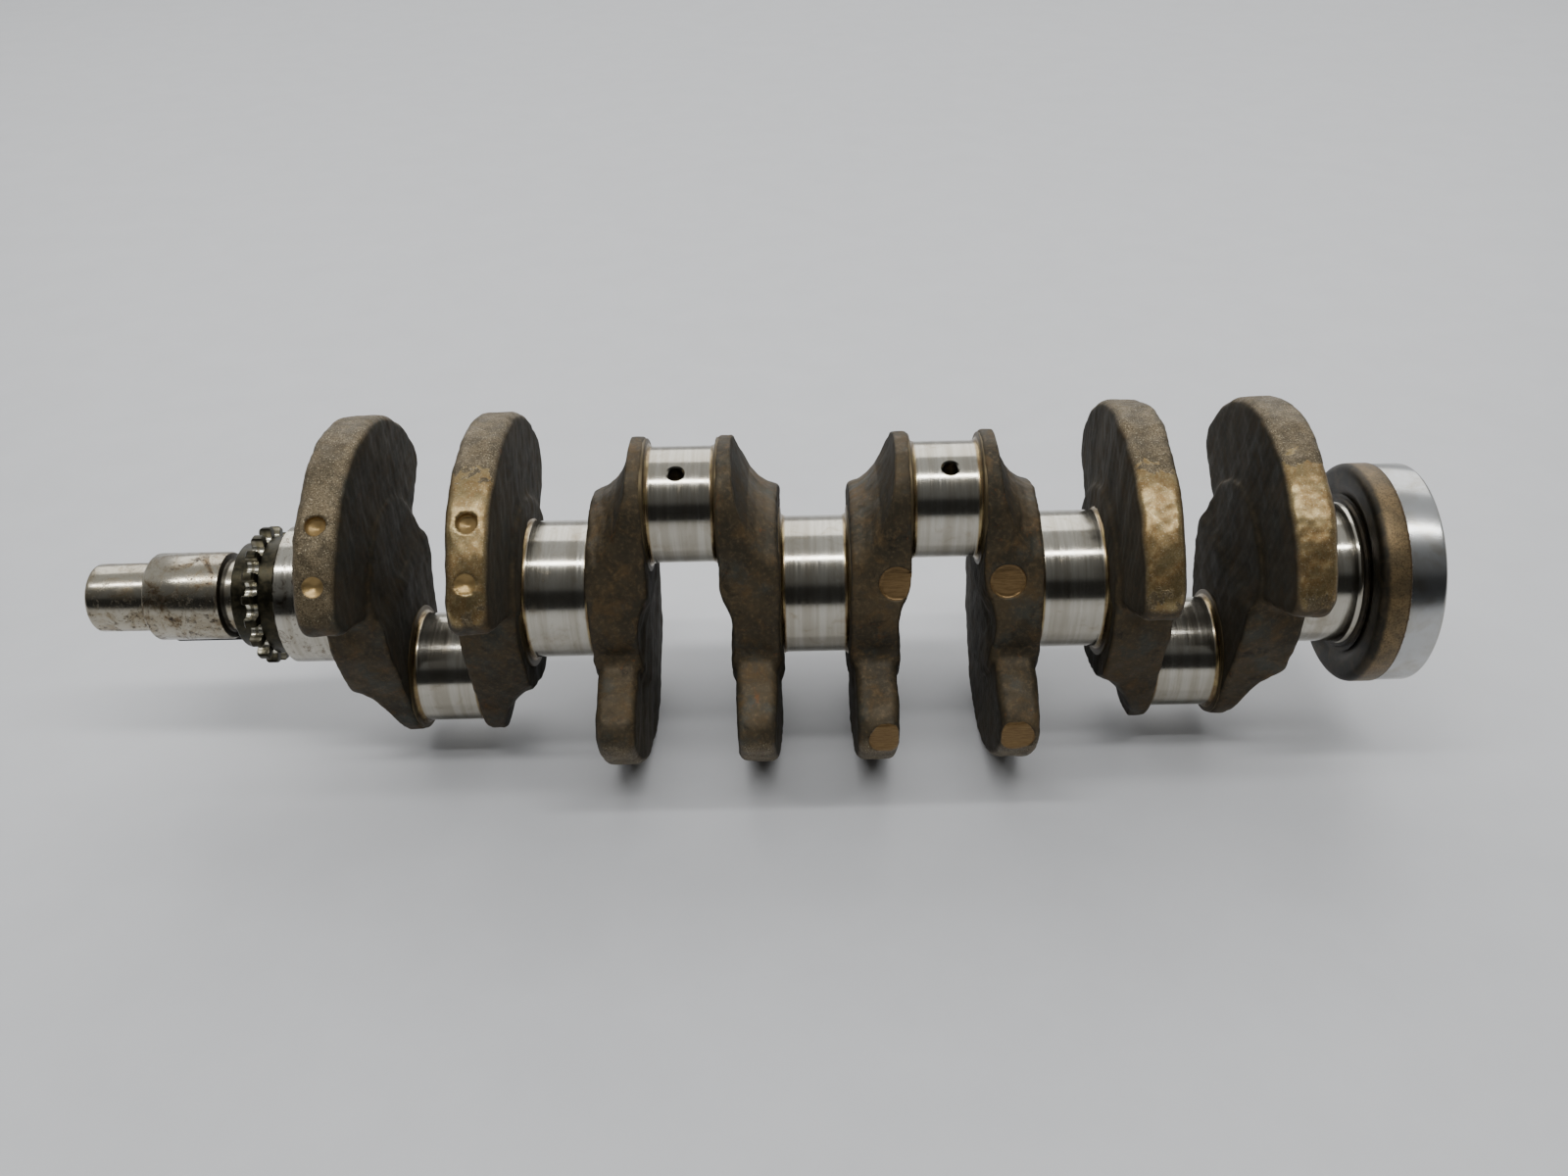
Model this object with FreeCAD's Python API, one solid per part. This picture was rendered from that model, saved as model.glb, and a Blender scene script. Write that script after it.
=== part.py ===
"""Crankshaft of a small in-line four-cylinder engine: five mains, four crankpins, eight counterweights.

Millimetres. The shaft's axis is X, with the snout at -X and the flywheel flange at +X.
The origin is on the axis, at the middle of main journal 3. Crankpins 2 and 3 stand up (+Z),
crankpins 1 and 4 hang down, and the shaft rests on counterweights 3 to 6.
"""
import FreeCAD, Part
import math
import os

V = FreeCAD.Vector
AXIS = V(1, 0, 0)

# ---- driving dimensions ----
PITCH = 91.0            # cylinder to cylinder, so main to main
THROW = 35.0            # crankpin axis to shaft axis, half of the stroke
MAIN_R = 25.0
PIN_R = 20.5
JOURNAL_W = 24.0        # each journal with its two fillets
FILLET = 2.0            # rolled fillet at the end of a journal
OIL_R = 2.6             # oil drillings
PIN_OIL_ANGLE = 28.0    # crankpin oil hole, from the throw towards -Y
MAIN_OIL_ANGLE = (22.0, 202.0, 202.0, 202.0, 202.0)     # oil hole of each main, from +Z towards -Y
OIL_CHAMFER = 0.7

BOSS_MAIN_R = 33.0      # web outline around the main
BOSS_PIN_R = 24.0       # web outline around the crankpin
RING_R = 28.5           # machined ring beside each main journal
RING_H = 0.8
# forged boss around the main, sweeping out to the crankpin end: depth from the main's side, radius
BOSS_SWEEP = ((0.0, 36.4), (4.6, 37.9), (7.7, 40.0), (10.7, 43.5), (12.9, 47.9), (14.6, 52.0), (16.2, 60.0))
PIN_FACE_R = (33.5, 39.5)       # raised face around crankpins 2 and 3: radius at its top and at its foot
PIN_FACE_DROP = (5.0, 11.0)     # the same beside crankpins 1 and 4: straight, below the shaft's axis

CW_R = 65.0             # counterweight rim
CW_HALF = 70.0          # half the counterweight's angle
CW_X = 1.2              # its main-side face, from the web's main side
CW_T = 15.8             # thickness at the middle
CW_DRAFT = 0.9          # forging draft of each face, away from the middle, in degrees
CW_CORNER = 9.0
CW_WAIST = (27.0, 7.0)  # narrowest place between counterweight and crankpin end: half width, drop
CW_EDGE = 3.0           # rounding of the rim's edges
DRILL_ANGLES = (35.5, 53.5)     # balancing holes in two rims, from the middle of the counterweight
DRILL_R = 3.4
DRILL_DEPTH = (2.2, 1.0)        # of each hole, from the rim to the edge of its tip
DRILL_TIP = 1.6
PAD_R = 6.2             # balancing flats milled into webs 5 and 6: one beside the crankpin, one on the rim
PAD_FLANK_X = (16.0, 12.9)      # from the main side of web 5 and of web 6
PAD_RIM_X = (11.6, 10.6)
PAD_FLANK = (-29.0, 19.0, 15.0)     # Y, Z and slope of the upper one
PAD_FLANK_DEPTH = 1.4
PAD_RIM = (-56.0, -27.0, 0.0)       # the same for the lower one
PAD_TOOL = 20.0         # length of the milling tool

NOSE_R = 12.5
SEAT_R = 16.0
UNDERCUT_R = 13.2
X_NOSE = -262.4
X_SEAT = -240.3
X_UNDERCUT = -213.0
X_SPROCKET = -206.8
X_MAIN_1 = -190.1
CHAMFER = 1.0
NOSE_CHAMFER = 1.5
BOLT_R = 5.4            # tapping hole of the M12 pulley bolt
BOLT_DEPTH = 32.0
BOLT_SINK = 2.5

KEY_W = 5.0
KEY_ANGLE = 5.0         # from straight down towards -Y
KEY_TOP = 18.0          # key's outer face, from the shaft axis
KEY_BOTTOM = 13.0
KEY_X = (-239.0, -191.5)

TEETH = 18
CHAIN_PITCH = 8.0
ROLLER_R = 2.6
TOOTH_TIP_R = 25.1
TOOTH_TOP_W = 2.8       # tooth's thickness at its tip
TOOTH_CHAMFER = (1.0, 1.5)      # at the tip: along the shaft, inwards
TEETH_X = (-200.8, -196.4)
HUB_FRONT_R = 19.2
HUB_BACK_R = 21.5
HUB_CHAMFER = 0.8

FLANGE_R = 40.0
SEAL_R = 39.6           # polished band that the rear seal runs on
X_FLANGE = 192.0
X_SEAL = 202.0
SEAL_STEP = 0.4         # slope from the forged band down to the polished one
X_END = 214.3
FLANGE_CHAMFER = 1.5
FLYWHEEL_HOLES = 6
FLYWHEEL_PCD = 60.0
FLYWHEEL_HOLE_R = 4.4   # tapping hole of an M10 x 1.25 bolt
FLYWHEEL_DEPTH = 17.0
FLYWHEEL_SINK = 1.0

# pilot bearing, 32 x 12 x 10
BEARING_R = 16.0
BEARING_BORE_R = 6.0
BEARING_W = 10.0
BEARING_SUNK = 2.0      # its face, below the flange's face
BALLS = 7
BALL_R = 2.9
BALL_CIRCLE_R = 11.0
GROOVE_R = 3.0
POCKET_R = 2.95
CAGE_HALF_T = 0.9
CAGE_X = (-3.6, 1.2)    # from the middle of the bearing
OUTER_IN_R = 12.7
INNER_OUT_R = 9.3
RELIEF_R = 9.0
RELIEF_DEPTH = 19.0
RING_CHAMFER = 0.5
SEAL_IN_R = 9.6
SEAL_W = 0.9
SEAL_SUNK = 0.6

OVERRUN = 1.0           # how far each cutting tool runs on past the surface

# ---- worked out ----
WEB_W = PITCH / 2 - JOURNAL_W
MAIN_X = [PITCH * k for k in (-2, -1, 0, 1, 2)]
PIN_X = [PITCH * k for k in (-1.5, -0.5, 0.5, 1.5)]
PIN_SIDE = [-1, 1, 1, -1]       # +1 stands up, -1 hangs down
CW_BACK = CW_X + CW_T           # its crankpin-side face
BEARING_X = (X_END - BEARING_SUNK - BEARING_W, X_END - BEARING_SUNK)


def rod(radius, x0, x1, y=0.0, z=0.0):
    """Cylinder along X from x0 to x1."""
    return Part.makeCylinder(radius, x1 - x0, V(x0, y, z), AXIS)


def turned(points):
    """Solid turned about the X axis from a closed outline of (x, r) points."""
    wire = Part.makePolygon([V(x, 0, r) for x, r in points + points[:1]])
    return Part.Face(wire).revolve(V(0, 0, 0), AXIS, 360)


def union(shapes):
    return shapes[0].multiFuse(shapes[1:]).removeSplitter()


def save(shape, name):
    solid = shape.Solids[0] if len(shape.Solids) == 1 else shape
    assert solid.isValid(), name
    solid.exportStep("parts/" + name + ".step")


def at_throw(shape, side):
    """Turns a shape made for an upright throw to the side it is on."""
    placed = shape.copy()
    if side < 0:
        placed.rotate(V(0, 0, 0), AXIS, 180)
    return placed


def throw_dir(angle):
    """Unit vector, turned by an angle from the upright throw towards -Y."""
    a = math.radians(angle)
    return V(0, -math.sin(a), math.cos(a))


def drilled(shape, centre, way, radius):
    """Shape with a radial oil hole along way, countersunk where it leaves the journal's surface."""
    hole = Part.makeCylinder(OIL_R, radius + 2, centre, way)
    seat = centre + way * (radius - OIL_CHAMFER)
    sink = Part.makeCone(OIL_R, OIL_R + OIL_CHAMFER + OVERRUN, OIL_CHAMFER + OVERRUN, seat, way)
    return shape.cut([hole, sink])


def journal(radius, x0, x1, left=True, right=True):
    """Ground journal about the X axis, flaring through a rolled fillet at each web."""
    foot = radius + FILLET
    edges = [Part.makeLine(V(x0, 0, 0), V(x0, 0, foot if left else radius))]
    a = V(x0, 0, radius)
    b = V(x1, 0, radius)
    bend = FILLET * (1 - math.sqrt(0.5))
    if left:
        a = V(x0 + FILLET, 0, radius)
        edges.append(Part.Arc(V(x0, 0, foot), V(x0 + bend, 0, radius + bend), a).toShape())
    if right:
        b = V(x1 - FILLET, 0, radius)
    edges.append(Part.makeLine(a, b))
    if right:
        edges.append(Part.Arc(b, V(x1 - bend, 0, radius + bend), V(x1, 0, foot)).toShape())
    edges.append(Part.makeLine(V(x1, 0, foot if right else radius), V(x1, 0, 0)))
    edges.append(Part.makeLine(V(x1, 0, 0), V(x0, 0, 0)))
    body = Part.Face(Part.Wire(edges)).revolve(V(0, 0, 0), AXIS, 360)
    body.rotate(V(0, 0, 0), AXIS, -90)      # its seam lies clear of the oil holes
    return body


def cheek(outer):
    """Web body around main and crankpin: two arcs and the tangents between them, main side at x = 0."""
    lean = math.asin((BOSS_MAIN_R - BOSS_PIN_R) / THROW)
    side = (math.cos(lean), math.sin(lean))
    low = [V(0, s * BOSS_MAIN_R * side[0], BOSS_MAIN_R * side[1]) for s in (-1, 1)]
    high = [V(0, s * BOSS_PIN_R * side[0], THROW + BOSS_PIN_R * side[1]) for s in (-1, 1)]
    edges = [
        Part.Arc(low[1], V(0, 0, -BOSS_MAIN_R), low[0]).toShape(),
        Part.makeLine(low[0], high[0]),
        Part.Arc(high[0], V(0, 0, THROW + BOSS_PIN_R), high[1]).toShape(),
        Part.makeLine(high[1], low[1]),
    ]
    body = Part.Face(Part.Wire(edges)).extrude(V(WEB_W - RING_H, 0, 0))
    body.translate(V(RING_H, 0, 0))
    far = BOSS_SWEEP[-1][1] + OVERRUN
    body = body.cut(turned([(-1, BOSS_SWEEP[0][1])] + list(BOSS_SWEEP) + [(BOSS_SWEEP[-1][0], far), (-1, far)]))
    return body.cut(beyond_pin_face(outer))


def beyond_pin_face(outer):
    """What is cut away on the crankpin side, between the raised face and the counterweight."""
    end = WEB_W + OVERRUN
    reach = 2 * CW_R
    if outer:
        top, foot = (-drop for drop in PIN_FACE_DROP)
        low = -reach
        outline = [(CW_BACK, foot), (WEB_W, top), (end, top), (end, low), (CW_BACK, low), (CW_BACK, foot)]
        wire = Part.makePolygon([V(x, -reach, z) for x, z in outline])
        return Part.Face(wire).extrude(V(0, 2 * reach, 0))
    top, foot = PIN_FACE_R
    ring = turned([(CW_BACK, foot), (WEB_W, top), (end, top), (end, reach), (CW_BACK, reach)])
    ring.translate(V(0, 0, THROW))
    return ring


def counterweight():
    """Sector below the main with rounded corners, drafted faces and rounded rim edges."""
    half = math.radians(CW_HALF)
    rim = [V(0, s * CW_R * math.sin(half), -CW_R * math.cos(half)) for s in (-1, 1)]
    waist = [V(0, s * CW_WAIST[0], -CW_WAIST[1]) for s in (-1, 1)]
    edges = [
        Part.Arc(rim[1], V(0, 0, -CW_R), rim[0]).toShape(),
        Part.makeLine(rim[0], waist[0]),
        Part.makeLine(waist[0], waist[1]),
        Part.makeLine(waist[1], rim[1]),
    ]
    sector = Part.Face(Part.Wire(edges)).extrude(V(CW_T, 0, 0))
    corners = [e for e in sector.Edges if abs(e.tangentAt(e.FirstParameter).x) > 0.99
               and abs(e.CenterOfMass.y) > CW_R * math.sin(half) - 1]
    sector = sector.makeFillet(CW_CORNER, corners)
    thin = CW_R * math.tan(math.radians(CW_DRAFT))
    hexagon = [(0, 0), (thin, -CW_R), (CW_T - thin, -CW_R), (CW_T, 0), (CW_T - thin, CW_R), (thin, CW_R)]
    draft = Part.Face(Part.makePolygon([V(x, y, -CW_R - OVERRUN) for x, y in hexagon + hexagon[:1]]))
    sector = sector.common(draft.extrude(V(0, 0, CW_R + 2)))
    rim_edges = [e for e in sector.Edges if e.CenterOfMass.z < -CW_WAIST[1] - 1
                 and math.hypot(e.CenterOfMass.y, e.CenterOfMass.z) > CW_R * 0.5
                 and abs(e.tangentAt((e.FirstParameter + e.LastParameter) / 2).x) < 0.5
                 and min(math.hypot(p.y, p.z) for p in e.discretize(5)) > CW_R - 0.5]
    sector = sector.makeFillet(CW_EDGE, rim_edges)
    sector.translate(V(CW_X, 0, 0))
    return sector


def make_web(outer):
    """Whole web for an upright throw: main side at x = 0, crankpin side at x = WEB_W."""
    ring = rod(RING_R, 0, RING_H + OVERRUN)
    return union([cheek(outer), counterweight(), ring])


def drilled_web(web):
    """Web with the balancing holes in its rim, on the side that faces -Y once the throw hangs down."""
    for angle, depth in zip(DRILL_ANGLES, DRILL_DEPTH):
        out = throw_dir(180 + angle)
        edge = out * (CW_R - depth) + V(CW_X + CW_T / 2, 0, 0)
        cone = Part.makeCone(0, DRILL_R, DRILL_TIP, edge - out * DRILL_TIP, out)
        web = web.cut(Part.makeCylinder(DRILL_R, depth + OVERRUN, edge, out)).cut(cone)
    return web


def milled_web(web, flank_x, rim_x):
    """Web with the two balancing flats on its -Y side."""
    tools = []
    for x, (y, z, slope), depth in ((flank_x, PAD_FLANK, PAD_FLANK_DEPTH), (rim_x, PAD_RIM, 0.0)):
        way = throw_dir(90 - slope)
        tools.append(Part.makeCylinder(PAD_R, PAD_TOOL, V(x, y, z) - way * depth, way))
    return web.cut(tools)


def placed_web(number, web):
    """Web moved to its place: odd webs have their crankpin on the +X side, even webs on the -X side."""
    bay = number // 2
    shape = web.copy()
    if number % 2:
        shape = shape.mirror(V(0, 0, 0), AXIS)
        shape.translate(V(MAIN_X[bay + 1] - JOURNAL_W / 2, 0, 0))
    else:
        shape.translate(V(MAIN_X[bay] + JOURNAL_W / 2, 0, 0))
    return at_throw(shape, PIN_SIDE[bay])


def snout():
    """Nose, pulley seat and sprocket seat, with the pulley bolt's hole and the keyway."""
    bolt = rod(BOLT_R, X_NOSE - OVERRUN, X_NOSE + BOLT_DEPTH)
    sink = Part.makeCone(BOLT_R + BOLT_SINK, BOLT_R, BOLT_SINK, V(X_NOSE, 0, 0), AXIS)
    c = NOSE_CHAMFER
    nose = turned([(X_NOSE, 0), (X_NOSE, NOSE_R - c), (X_NOSE + c, NOSE_R), (X_SEAT, NOSE_R), (X_SEAT, 0)])
    c = CHAMFER
    seat = turned([(X_SEAT, 0), (X_SEAT, SEAT_R - c), (X_SEAT + c, SEAT_R),
                   (X_UNDERCUT - c, SEAT_R), (X_UNDERCUT, SEAT_R - c), (X_UNDERCUT, 0)])
    drive = union([rod(UNDERCUT_R, X_UNDERCUT, X_SPROCKET), rod(SEAT_R, X_SPROCKET, X_MAIN_1)])
    slot = snout_key()
    return nose.cut(bolt).cut(sink), seat.cut(bolt).cut(slot), drive.cut(slot)


def snout_key():
    """Parallel key with rounded ends, lying along the underside of the snout."""
    x0, x1 = KEY_X
    r = KEY_W / 2
    plan = [Part.makeBox(x1 - x0 - 2 * r, KEY_W, KEY_TOP - KEY_BOTTOM, V(x0 + r, -r, -KEY_TOP))]
    for x in (x0 + r, x1 - r):
        plan.append(Part.makeCylinder(r, KEY_TOP - KEY_BOTTOM, V(x, 0, -KEY_TOP)))
    key = union(plan)
    key.rotate(V(0, 0, 0), AXIS, -KEY_ANGLE)
    return key


def timing_sprocket():
    """Roller-chain sprocket with a hub on each side, bored for the snout and cut for the key."""
    pitch_r = CHAIN_PITCH / 2 / math.sin(math.pi / TEETH)
    x0, x1 = TEETH_X
    along, inwards = TOOTH_CHAMFER
    disc = turned([(x0, 0), (x0, TOOTH_TIP_R - inwards), (x0 + along, TOOTH_TIP_R),
                   (x1 - along, TOOTH_TIP_R), (x1, TOOTH_TIP_R - inwards), (x1, 0)])
    flare = (2 * math.pi * TOOTH_TIP_R / TEETH - TOOTH_TOP_W) / 2
    gaps = []
    for k in range(TEETH):
        a = 2 * math.pi * (k + 0.5) / TEETH
        mid = V(0, math.sin(a), math.cos(a))
        across = V(0, math.cos(a), -math.sin(a))
        floor = mid * pitch_r
        mouth = mid * (TOOTH_TIP_R + 0.5)
        outline = [floor + across * ROLLER_R, mouth + across * flare,
                   mouth - across * flare, floor - across * ROLLER_R]
        edges = [Part.makeLine(outline[i], outline[i + 1]) for i in range(3)]
        edges.append(Part.Arc(outline[3], mid * (pitch_r - ROLLER_R), outline[0]).toShape())
        gap = Part.Face(Part.Wire(edges)).extrude(V(x1 - x0 + 2, 0, 0))
        gap.translate(V(x0 - OVERRUN, 0, 0))
        gaps.append(gap)
    toothed = disc.cut(gaps)
    c = HUB_CHAMFER
    front = turned([(X_SPROCKET, 0), (X_SPROCKET, HUB_FRONT_R - c), (X_SPROCKET + c, HUB_FRONT_R),
                    (x0, HUB_FRONT_R), (x0, 0)])
    back = turned([(x1, 0), (x1, HUB_BACK_R), (X_MAIN_1 - c, HUB_BACK_R), (X_MAIN_1, HUB_BACK_R - c), (X_MAIN_1, 0)])
    whole = union([front, toothed, back])
    return whole.cut(rod(SEAT_R, X_SPROCKET - OVERRUN, X_MAIN_1 + OVERRUN)).cut(snout_key())


def rear_flange():
    """Flywheel flange: forged band, seal band, bolt holes and the pilot bearing's bore."""
    c = FLANGE_CHAMFER
    body = turned([(X_FLANGE, 0), (X_FLANGE, FLANGE_R - 2 * c), (X_FLANGE + 2 * c, FLANGE_R), (X_SEAL, FLANGE_R),
                   (X_SEAL + SEAL_STEP, SEAL_R), (X_END - c, SEAL_R), (X_END, SEAL_R - c), (X_END, 0)])
    bore = rod(BEARING_R, BEARING_X[0], X_END + OVERRUN)
    relief = rod(RELIEF_R, X_END - RELIEF_DEPTH, X_END)
    holes = []
    for k in range(FLYWHEEL_HOLES):
        a = 2 * math.pi * k / FLYWHEEL_HOLES
        y = FLYWHEEL_PCD / 2 * math.sin(a)
        z = FLYWHEEL_PCD / 2 * math.cos(a)
        holes.append(rod(FLYWHEEL_HOLE_R, X_END - FLYWHEEL_DEPTH, X_END + OVERRUN, y, z))
        sink = V(X_END - FLYWHEEL_SINK, y, z)
        holes.append(Part.makeCone(FLYWHEEL_HOLE_R, FLYWHEEL_HOLE_R + FLYWHEEL_SINK, FLYWHEEL_SINK, sink, AXIS))
    return body.cut([bore, relief] + holes)


def groove():
    """Ball track shared by the two rings of the pilot bearing."""
    return Part.makeTorus(BALL_CIRCLE_R, GROOVE_R, V(sum(BEARING_X) / 2, 0, 0), AXIS)


def ball_places():
    x = sum(BEARING_X) / 2
    for k in range(BALLS):
        a = 2 * math.pi * k / BALLS
        yield V(x, BALL_CIRCLE_R * math.sin(a), BALL_CIRCLE_R * math.cos(a))


def bearing_ring(r_in, r_out):
    """One ring of the pilot bearing with chamfered ends and the ball track."""
    x0, x1 = BEARING_X
    c = RING_CHAMFER
    ring = turned([(x0, r_in + c), (x0, r_out - c), (x0 + c, r_out), (x1 - c, r_out),
                   (x1, r_out - c), (x1, r_in + c), (x1 - c, r_in), (x0 + c, r_in)])
    return ring.cut(groove())


def pilot_cage():
    """Ring with an open pocket for each ball, snapped over the balls from the inner side."""
    x_mid = sum(BEARING_X) / 2
    x0, x1 = x_mid + CAGE_X[0], x_mid + CAGE_X[1]
    band = rod(BALL_CIRCLE_R + CAGE_HALF_T, x0, x1).cut(rod(BALL_CIRCLE_R - CAGE_HALF_T, x0 - OVERRUN, x1 + OVERRUN))
    return band.cut([Part.makeSphere(POCKET_R, p) for p in ball_places()])


def pilot_seal():
    """Rubber-faced shield that closes the outward side of the pilot bearing."""
    x1 = BEARING_X[1] - SEAL_SUNK
    return rod(OUTER_IN_R, x1 - SEAL_W, x1).cut(rod(SEAL_IN_R, x1 - SEAL_W - OVERRUN, x1 + OVERRUN))


os.makedirs("parts", exist_ok=True)

for name, region in zip(("snout_nose", "pulley_seat", "sprocket_seat"), snout()):
    save(region, name)
save(snout_key(), "snout_key")
save(timing_sprocket(), "timing_sprocket")

half_w = JOURNAL_W / 2
for n, x in enumerate(MAIN_X):
    x0 = X_MAIN_1 if n == 0 else x - half_w
    x1 = X_FLANGE if n == 4 else x + half_w
    body = journal(MAIN_R, x0, x1, left=n > 0, right=True)
    body = drilled(body, V((x0 + x1) / 2, 0, 0), throw_dir(MAIN_OIL_ANGLE[n]), MAIN_R)
    save(body, "main_journal_%d" % (n + 1))

for n, x in enumerate(PIN_X):
    body = journal(PIN_R, x - half_w, x + half_w)
    body = drilled(body, V(x, 0, 0), throw_dir(PIN_OIL_ANGLE), PIN_R)
    body.translate(V(0, 0, THROW))
    save(at_throw(body, PIN_SIDE[n]), "crankpin_%d" % (n + 1))

outer_web = make_web(True)
inner_web = make_web(False)
milled = [milled_web(inner_web, *places) for places in zip(PAD_FLANK_X, PAD_RIM_X)]
shapes = [drilled_web(outer_web)] * 2 + [inner_web] * 2 + milled + [outer_web] * 2
for number, shape in enumerate(shapes):
    save(placed_web(number, shape), "web_%d" % (number + 1))

save(rear_flange(), "rear_flange")
save(bearing_ring(OUTER_IN_R, BEARING_R), "pilot_outer_ring")
save(bearing_ring(BEARING_BORE_R, INNER_OUT_R), "pilot_inner_ring")
save(Part.makeCompound([Part.makeSphere(BALL_R, p) for p in ball_places()]), "pilot_balls")
save(pilot_cage(), "pilot_cage")
save(pilot_seal(), "pilot_seal")
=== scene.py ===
"""Looks of the crankshaft: forged webs, ground journals, snout, chain sprocket, flange and pilot bearing.

Sizes are in millimetres, as in the model's own drawing, and become metres where a mesh is made.
"""
import math

import bmesh
import bpy
import numpy as np
from mathutils import Matrix, Vector


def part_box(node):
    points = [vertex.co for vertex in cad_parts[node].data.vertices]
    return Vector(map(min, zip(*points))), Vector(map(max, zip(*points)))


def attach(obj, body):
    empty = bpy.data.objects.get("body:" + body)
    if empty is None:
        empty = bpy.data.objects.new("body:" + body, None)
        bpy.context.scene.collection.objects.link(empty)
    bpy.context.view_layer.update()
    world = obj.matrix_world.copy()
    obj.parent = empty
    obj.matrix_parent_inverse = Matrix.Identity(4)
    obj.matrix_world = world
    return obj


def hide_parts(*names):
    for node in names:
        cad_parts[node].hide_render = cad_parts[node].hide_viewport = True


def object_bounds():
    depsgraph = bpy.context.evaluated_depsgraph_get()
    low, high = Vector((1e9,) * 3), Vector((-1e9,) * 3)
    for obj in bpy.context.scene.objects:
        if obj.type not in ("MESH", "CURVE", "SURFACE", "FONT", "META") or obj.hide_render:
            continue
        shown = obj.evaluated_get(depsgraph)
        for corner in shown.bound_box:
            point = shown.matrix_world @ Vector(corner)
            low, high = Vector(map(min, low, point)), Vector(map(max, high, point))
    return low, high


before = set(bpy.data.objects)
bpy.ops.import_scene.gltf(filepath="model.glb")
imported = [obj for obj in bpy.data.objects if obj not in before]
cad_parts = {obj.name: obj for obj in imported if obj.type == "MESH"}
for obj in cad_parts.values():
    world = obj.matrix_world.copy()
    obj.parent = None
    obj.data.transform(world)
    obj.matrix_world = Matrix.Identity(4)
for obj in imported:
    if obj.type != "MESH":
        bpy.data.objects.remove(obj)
CAD_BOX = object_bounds()
MM = 0.001


# ---------------- sizes

def span(node, axis=0):
    """Lowest and highest place of a model node along an axis, in mm."""
    low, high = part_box(node)
    return low[axis] / MM, high[axis] / MM


PITCH = 91.0
THROW = 35.0
MAIN_R = 25.0
PIN_R = 20.5
FILLET = 2.0
JOURNAL_W = 24.0
WEB_W = PITCH / 2 - JOURNAL_W
MAINS = [PITCH * k for k in (-2, -1, 0, 1, 2)]
PINS = [PITCH * k for k in (-1.5, -0.5, 0.5, 1.5)]
SIDES = [-1, 1, 1, -1]
X_FRONT = span("snout_nose")[0]
X_SEAT = span("pulley_seat")[0]
X_UNDERCUT = span("pulley_seat")[1]
X_SPROCKET, X_MAIN_1 = span("timing_sprocket")
X_FLANGE, X_END = span("rear_flange")
X_BEARING = span("pilot_outer_ring")
X_SEAL = 202.0

BOSS_MAIN_R = 33.0
BOSS_PIN_R = 24.0
RING_R = 28.5
RING_ROOT = 1.4
CW_R = 65.0
CW_REACH = span("web_3", 1)[1]
CW_X = 1.2
CW_BACK = 17.0
CW_MIDDLE = (CW_X + CW_BACK) / 2
CW_DRAFT = math.tan(math.radians(0.9))
CW_CORNER = 11.0
CW_ROOM = (0.4, 0.3)
CW_INSIDE = 0.05
BOSS_SWEEP_X = (0.0, 4.6, 7.7, 10.7, 12.9, 14.6, 16.2)
BOSS_SWEEP_R = (36.4, 37.9, 40.0, 43.5, 47.9, 52.0, 60.0)
PIN_FACE_R = (33.5, 39.5)
PIN_FACE_DROP = (5.0, 11.0)
DRILL_ANGLES = (35.5, 53.5)
DRILL_DEPTH = (2.2, 1.0)
DRILL_R = 3.4
DRILL_TIP = 1.6
DRILL_SLOPE = 0.47
OUTER_WEBS = (0, 1, 6, 7)
DRILLED_WEBS = (0, 1)
WAIST = (27.0, 7.0)
CW_HALF = math.radians(70.0)
PIN_RING_R = 23.4
MAIN_OIL_ANGLE = (22.0, 202.0, 202.0, 202.0, 202.0)
PIN_OIL_ANGLE = 28.0
PIN_OIL_SHIFT = (0.0, -1.2, 1.2, 0.0)
OIL_R = 2.6
OIL_CHAMFER = 0.7
NOSE_R = 12.5
SEAT_R = 16.0
KEY_W = 5.0
KEY_ANGLE = 5.0
KEY_TOP = -13.0

# Flats milled on webs 5 and 6: places from the main side; then middle (y, z), angle of the tool and depth.
FLAT_X = {4: (16.0, 11.6), 5: (12.9, 10.6)}
FLATS = (((-29.0, 19.0), 75.0, 1.4), ((-56.0, -27.0), 90.0, 0.0))
FLAT_R = 6.2

FLANGE_R = 40.0
FLANGE_ROOT_R = 27.3
FLYWHEEL_HOLES = 6
BOLT_CIRCLE_R = 30.0
THREAD_PITCH = 1.25
THREAD_RIDGE = 0.42
BEARING_R = 16.0
BALLS = 7
BALL_R = 2.9
BALL_CIRCLE_R = 11.0
TRACK_R = 3.0
POCKET_ROOM = 1.03

FLOOR_SIZE = 40000
CAMERA_DISTANCE = 488.6
AIM_X = -3.3
AIM_DROP = 4.8 / 2.763
ROOM_TONES = ((0.0, 0.03), (0.15, 0.03), (0.2, 0.13), (0.39, 0.22), (0.46, 0.5), (0.56, 0.62), (1.0, 0.62))


# ---------------- meshes

def new_object(name, mesh):
    """Object in the scene from a mesh."""
    obj = bpy.data.objects.new(name, mesh)
    bpy.context.scene.collection.objects.link(obj)
    return obj


def mesh_object(name, points, faces, sharp=35.0):
    """Object from points in mm, smooth except along edges sharper than an angle in degrees."""
    mesh = bpy.data.meshes.new(name)
    mesh.from_pydata([tuple(np.array(p) * MM) for p in points], [], faces)
    mesh.update()
    obj = new_object(name, mesh)
    smooth_by_angle(obj, sharp)
    return obj


def reshaped(obj, change):
    """Object after a change to its mesh."""
    bm = bmesh.new()
    bm.from_mesh(obj.data)
    change(bm)
    bm.to_mesh(obj.data)
    bm.free()
    return obj


def smooth_by_angle(obj, sharp):
    """Object shaded smooth, except along edges sharper than an angle in degrees."""
    def mark(bm):
        for edge in bm.edges:
            edge.smooth = len(edge.link_faces) != 2 or edge.calc_face_angle(0) < math.radians(sharp)

    obj.data.shade_smooth()
    return reshaped(obj, mark)


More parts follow.
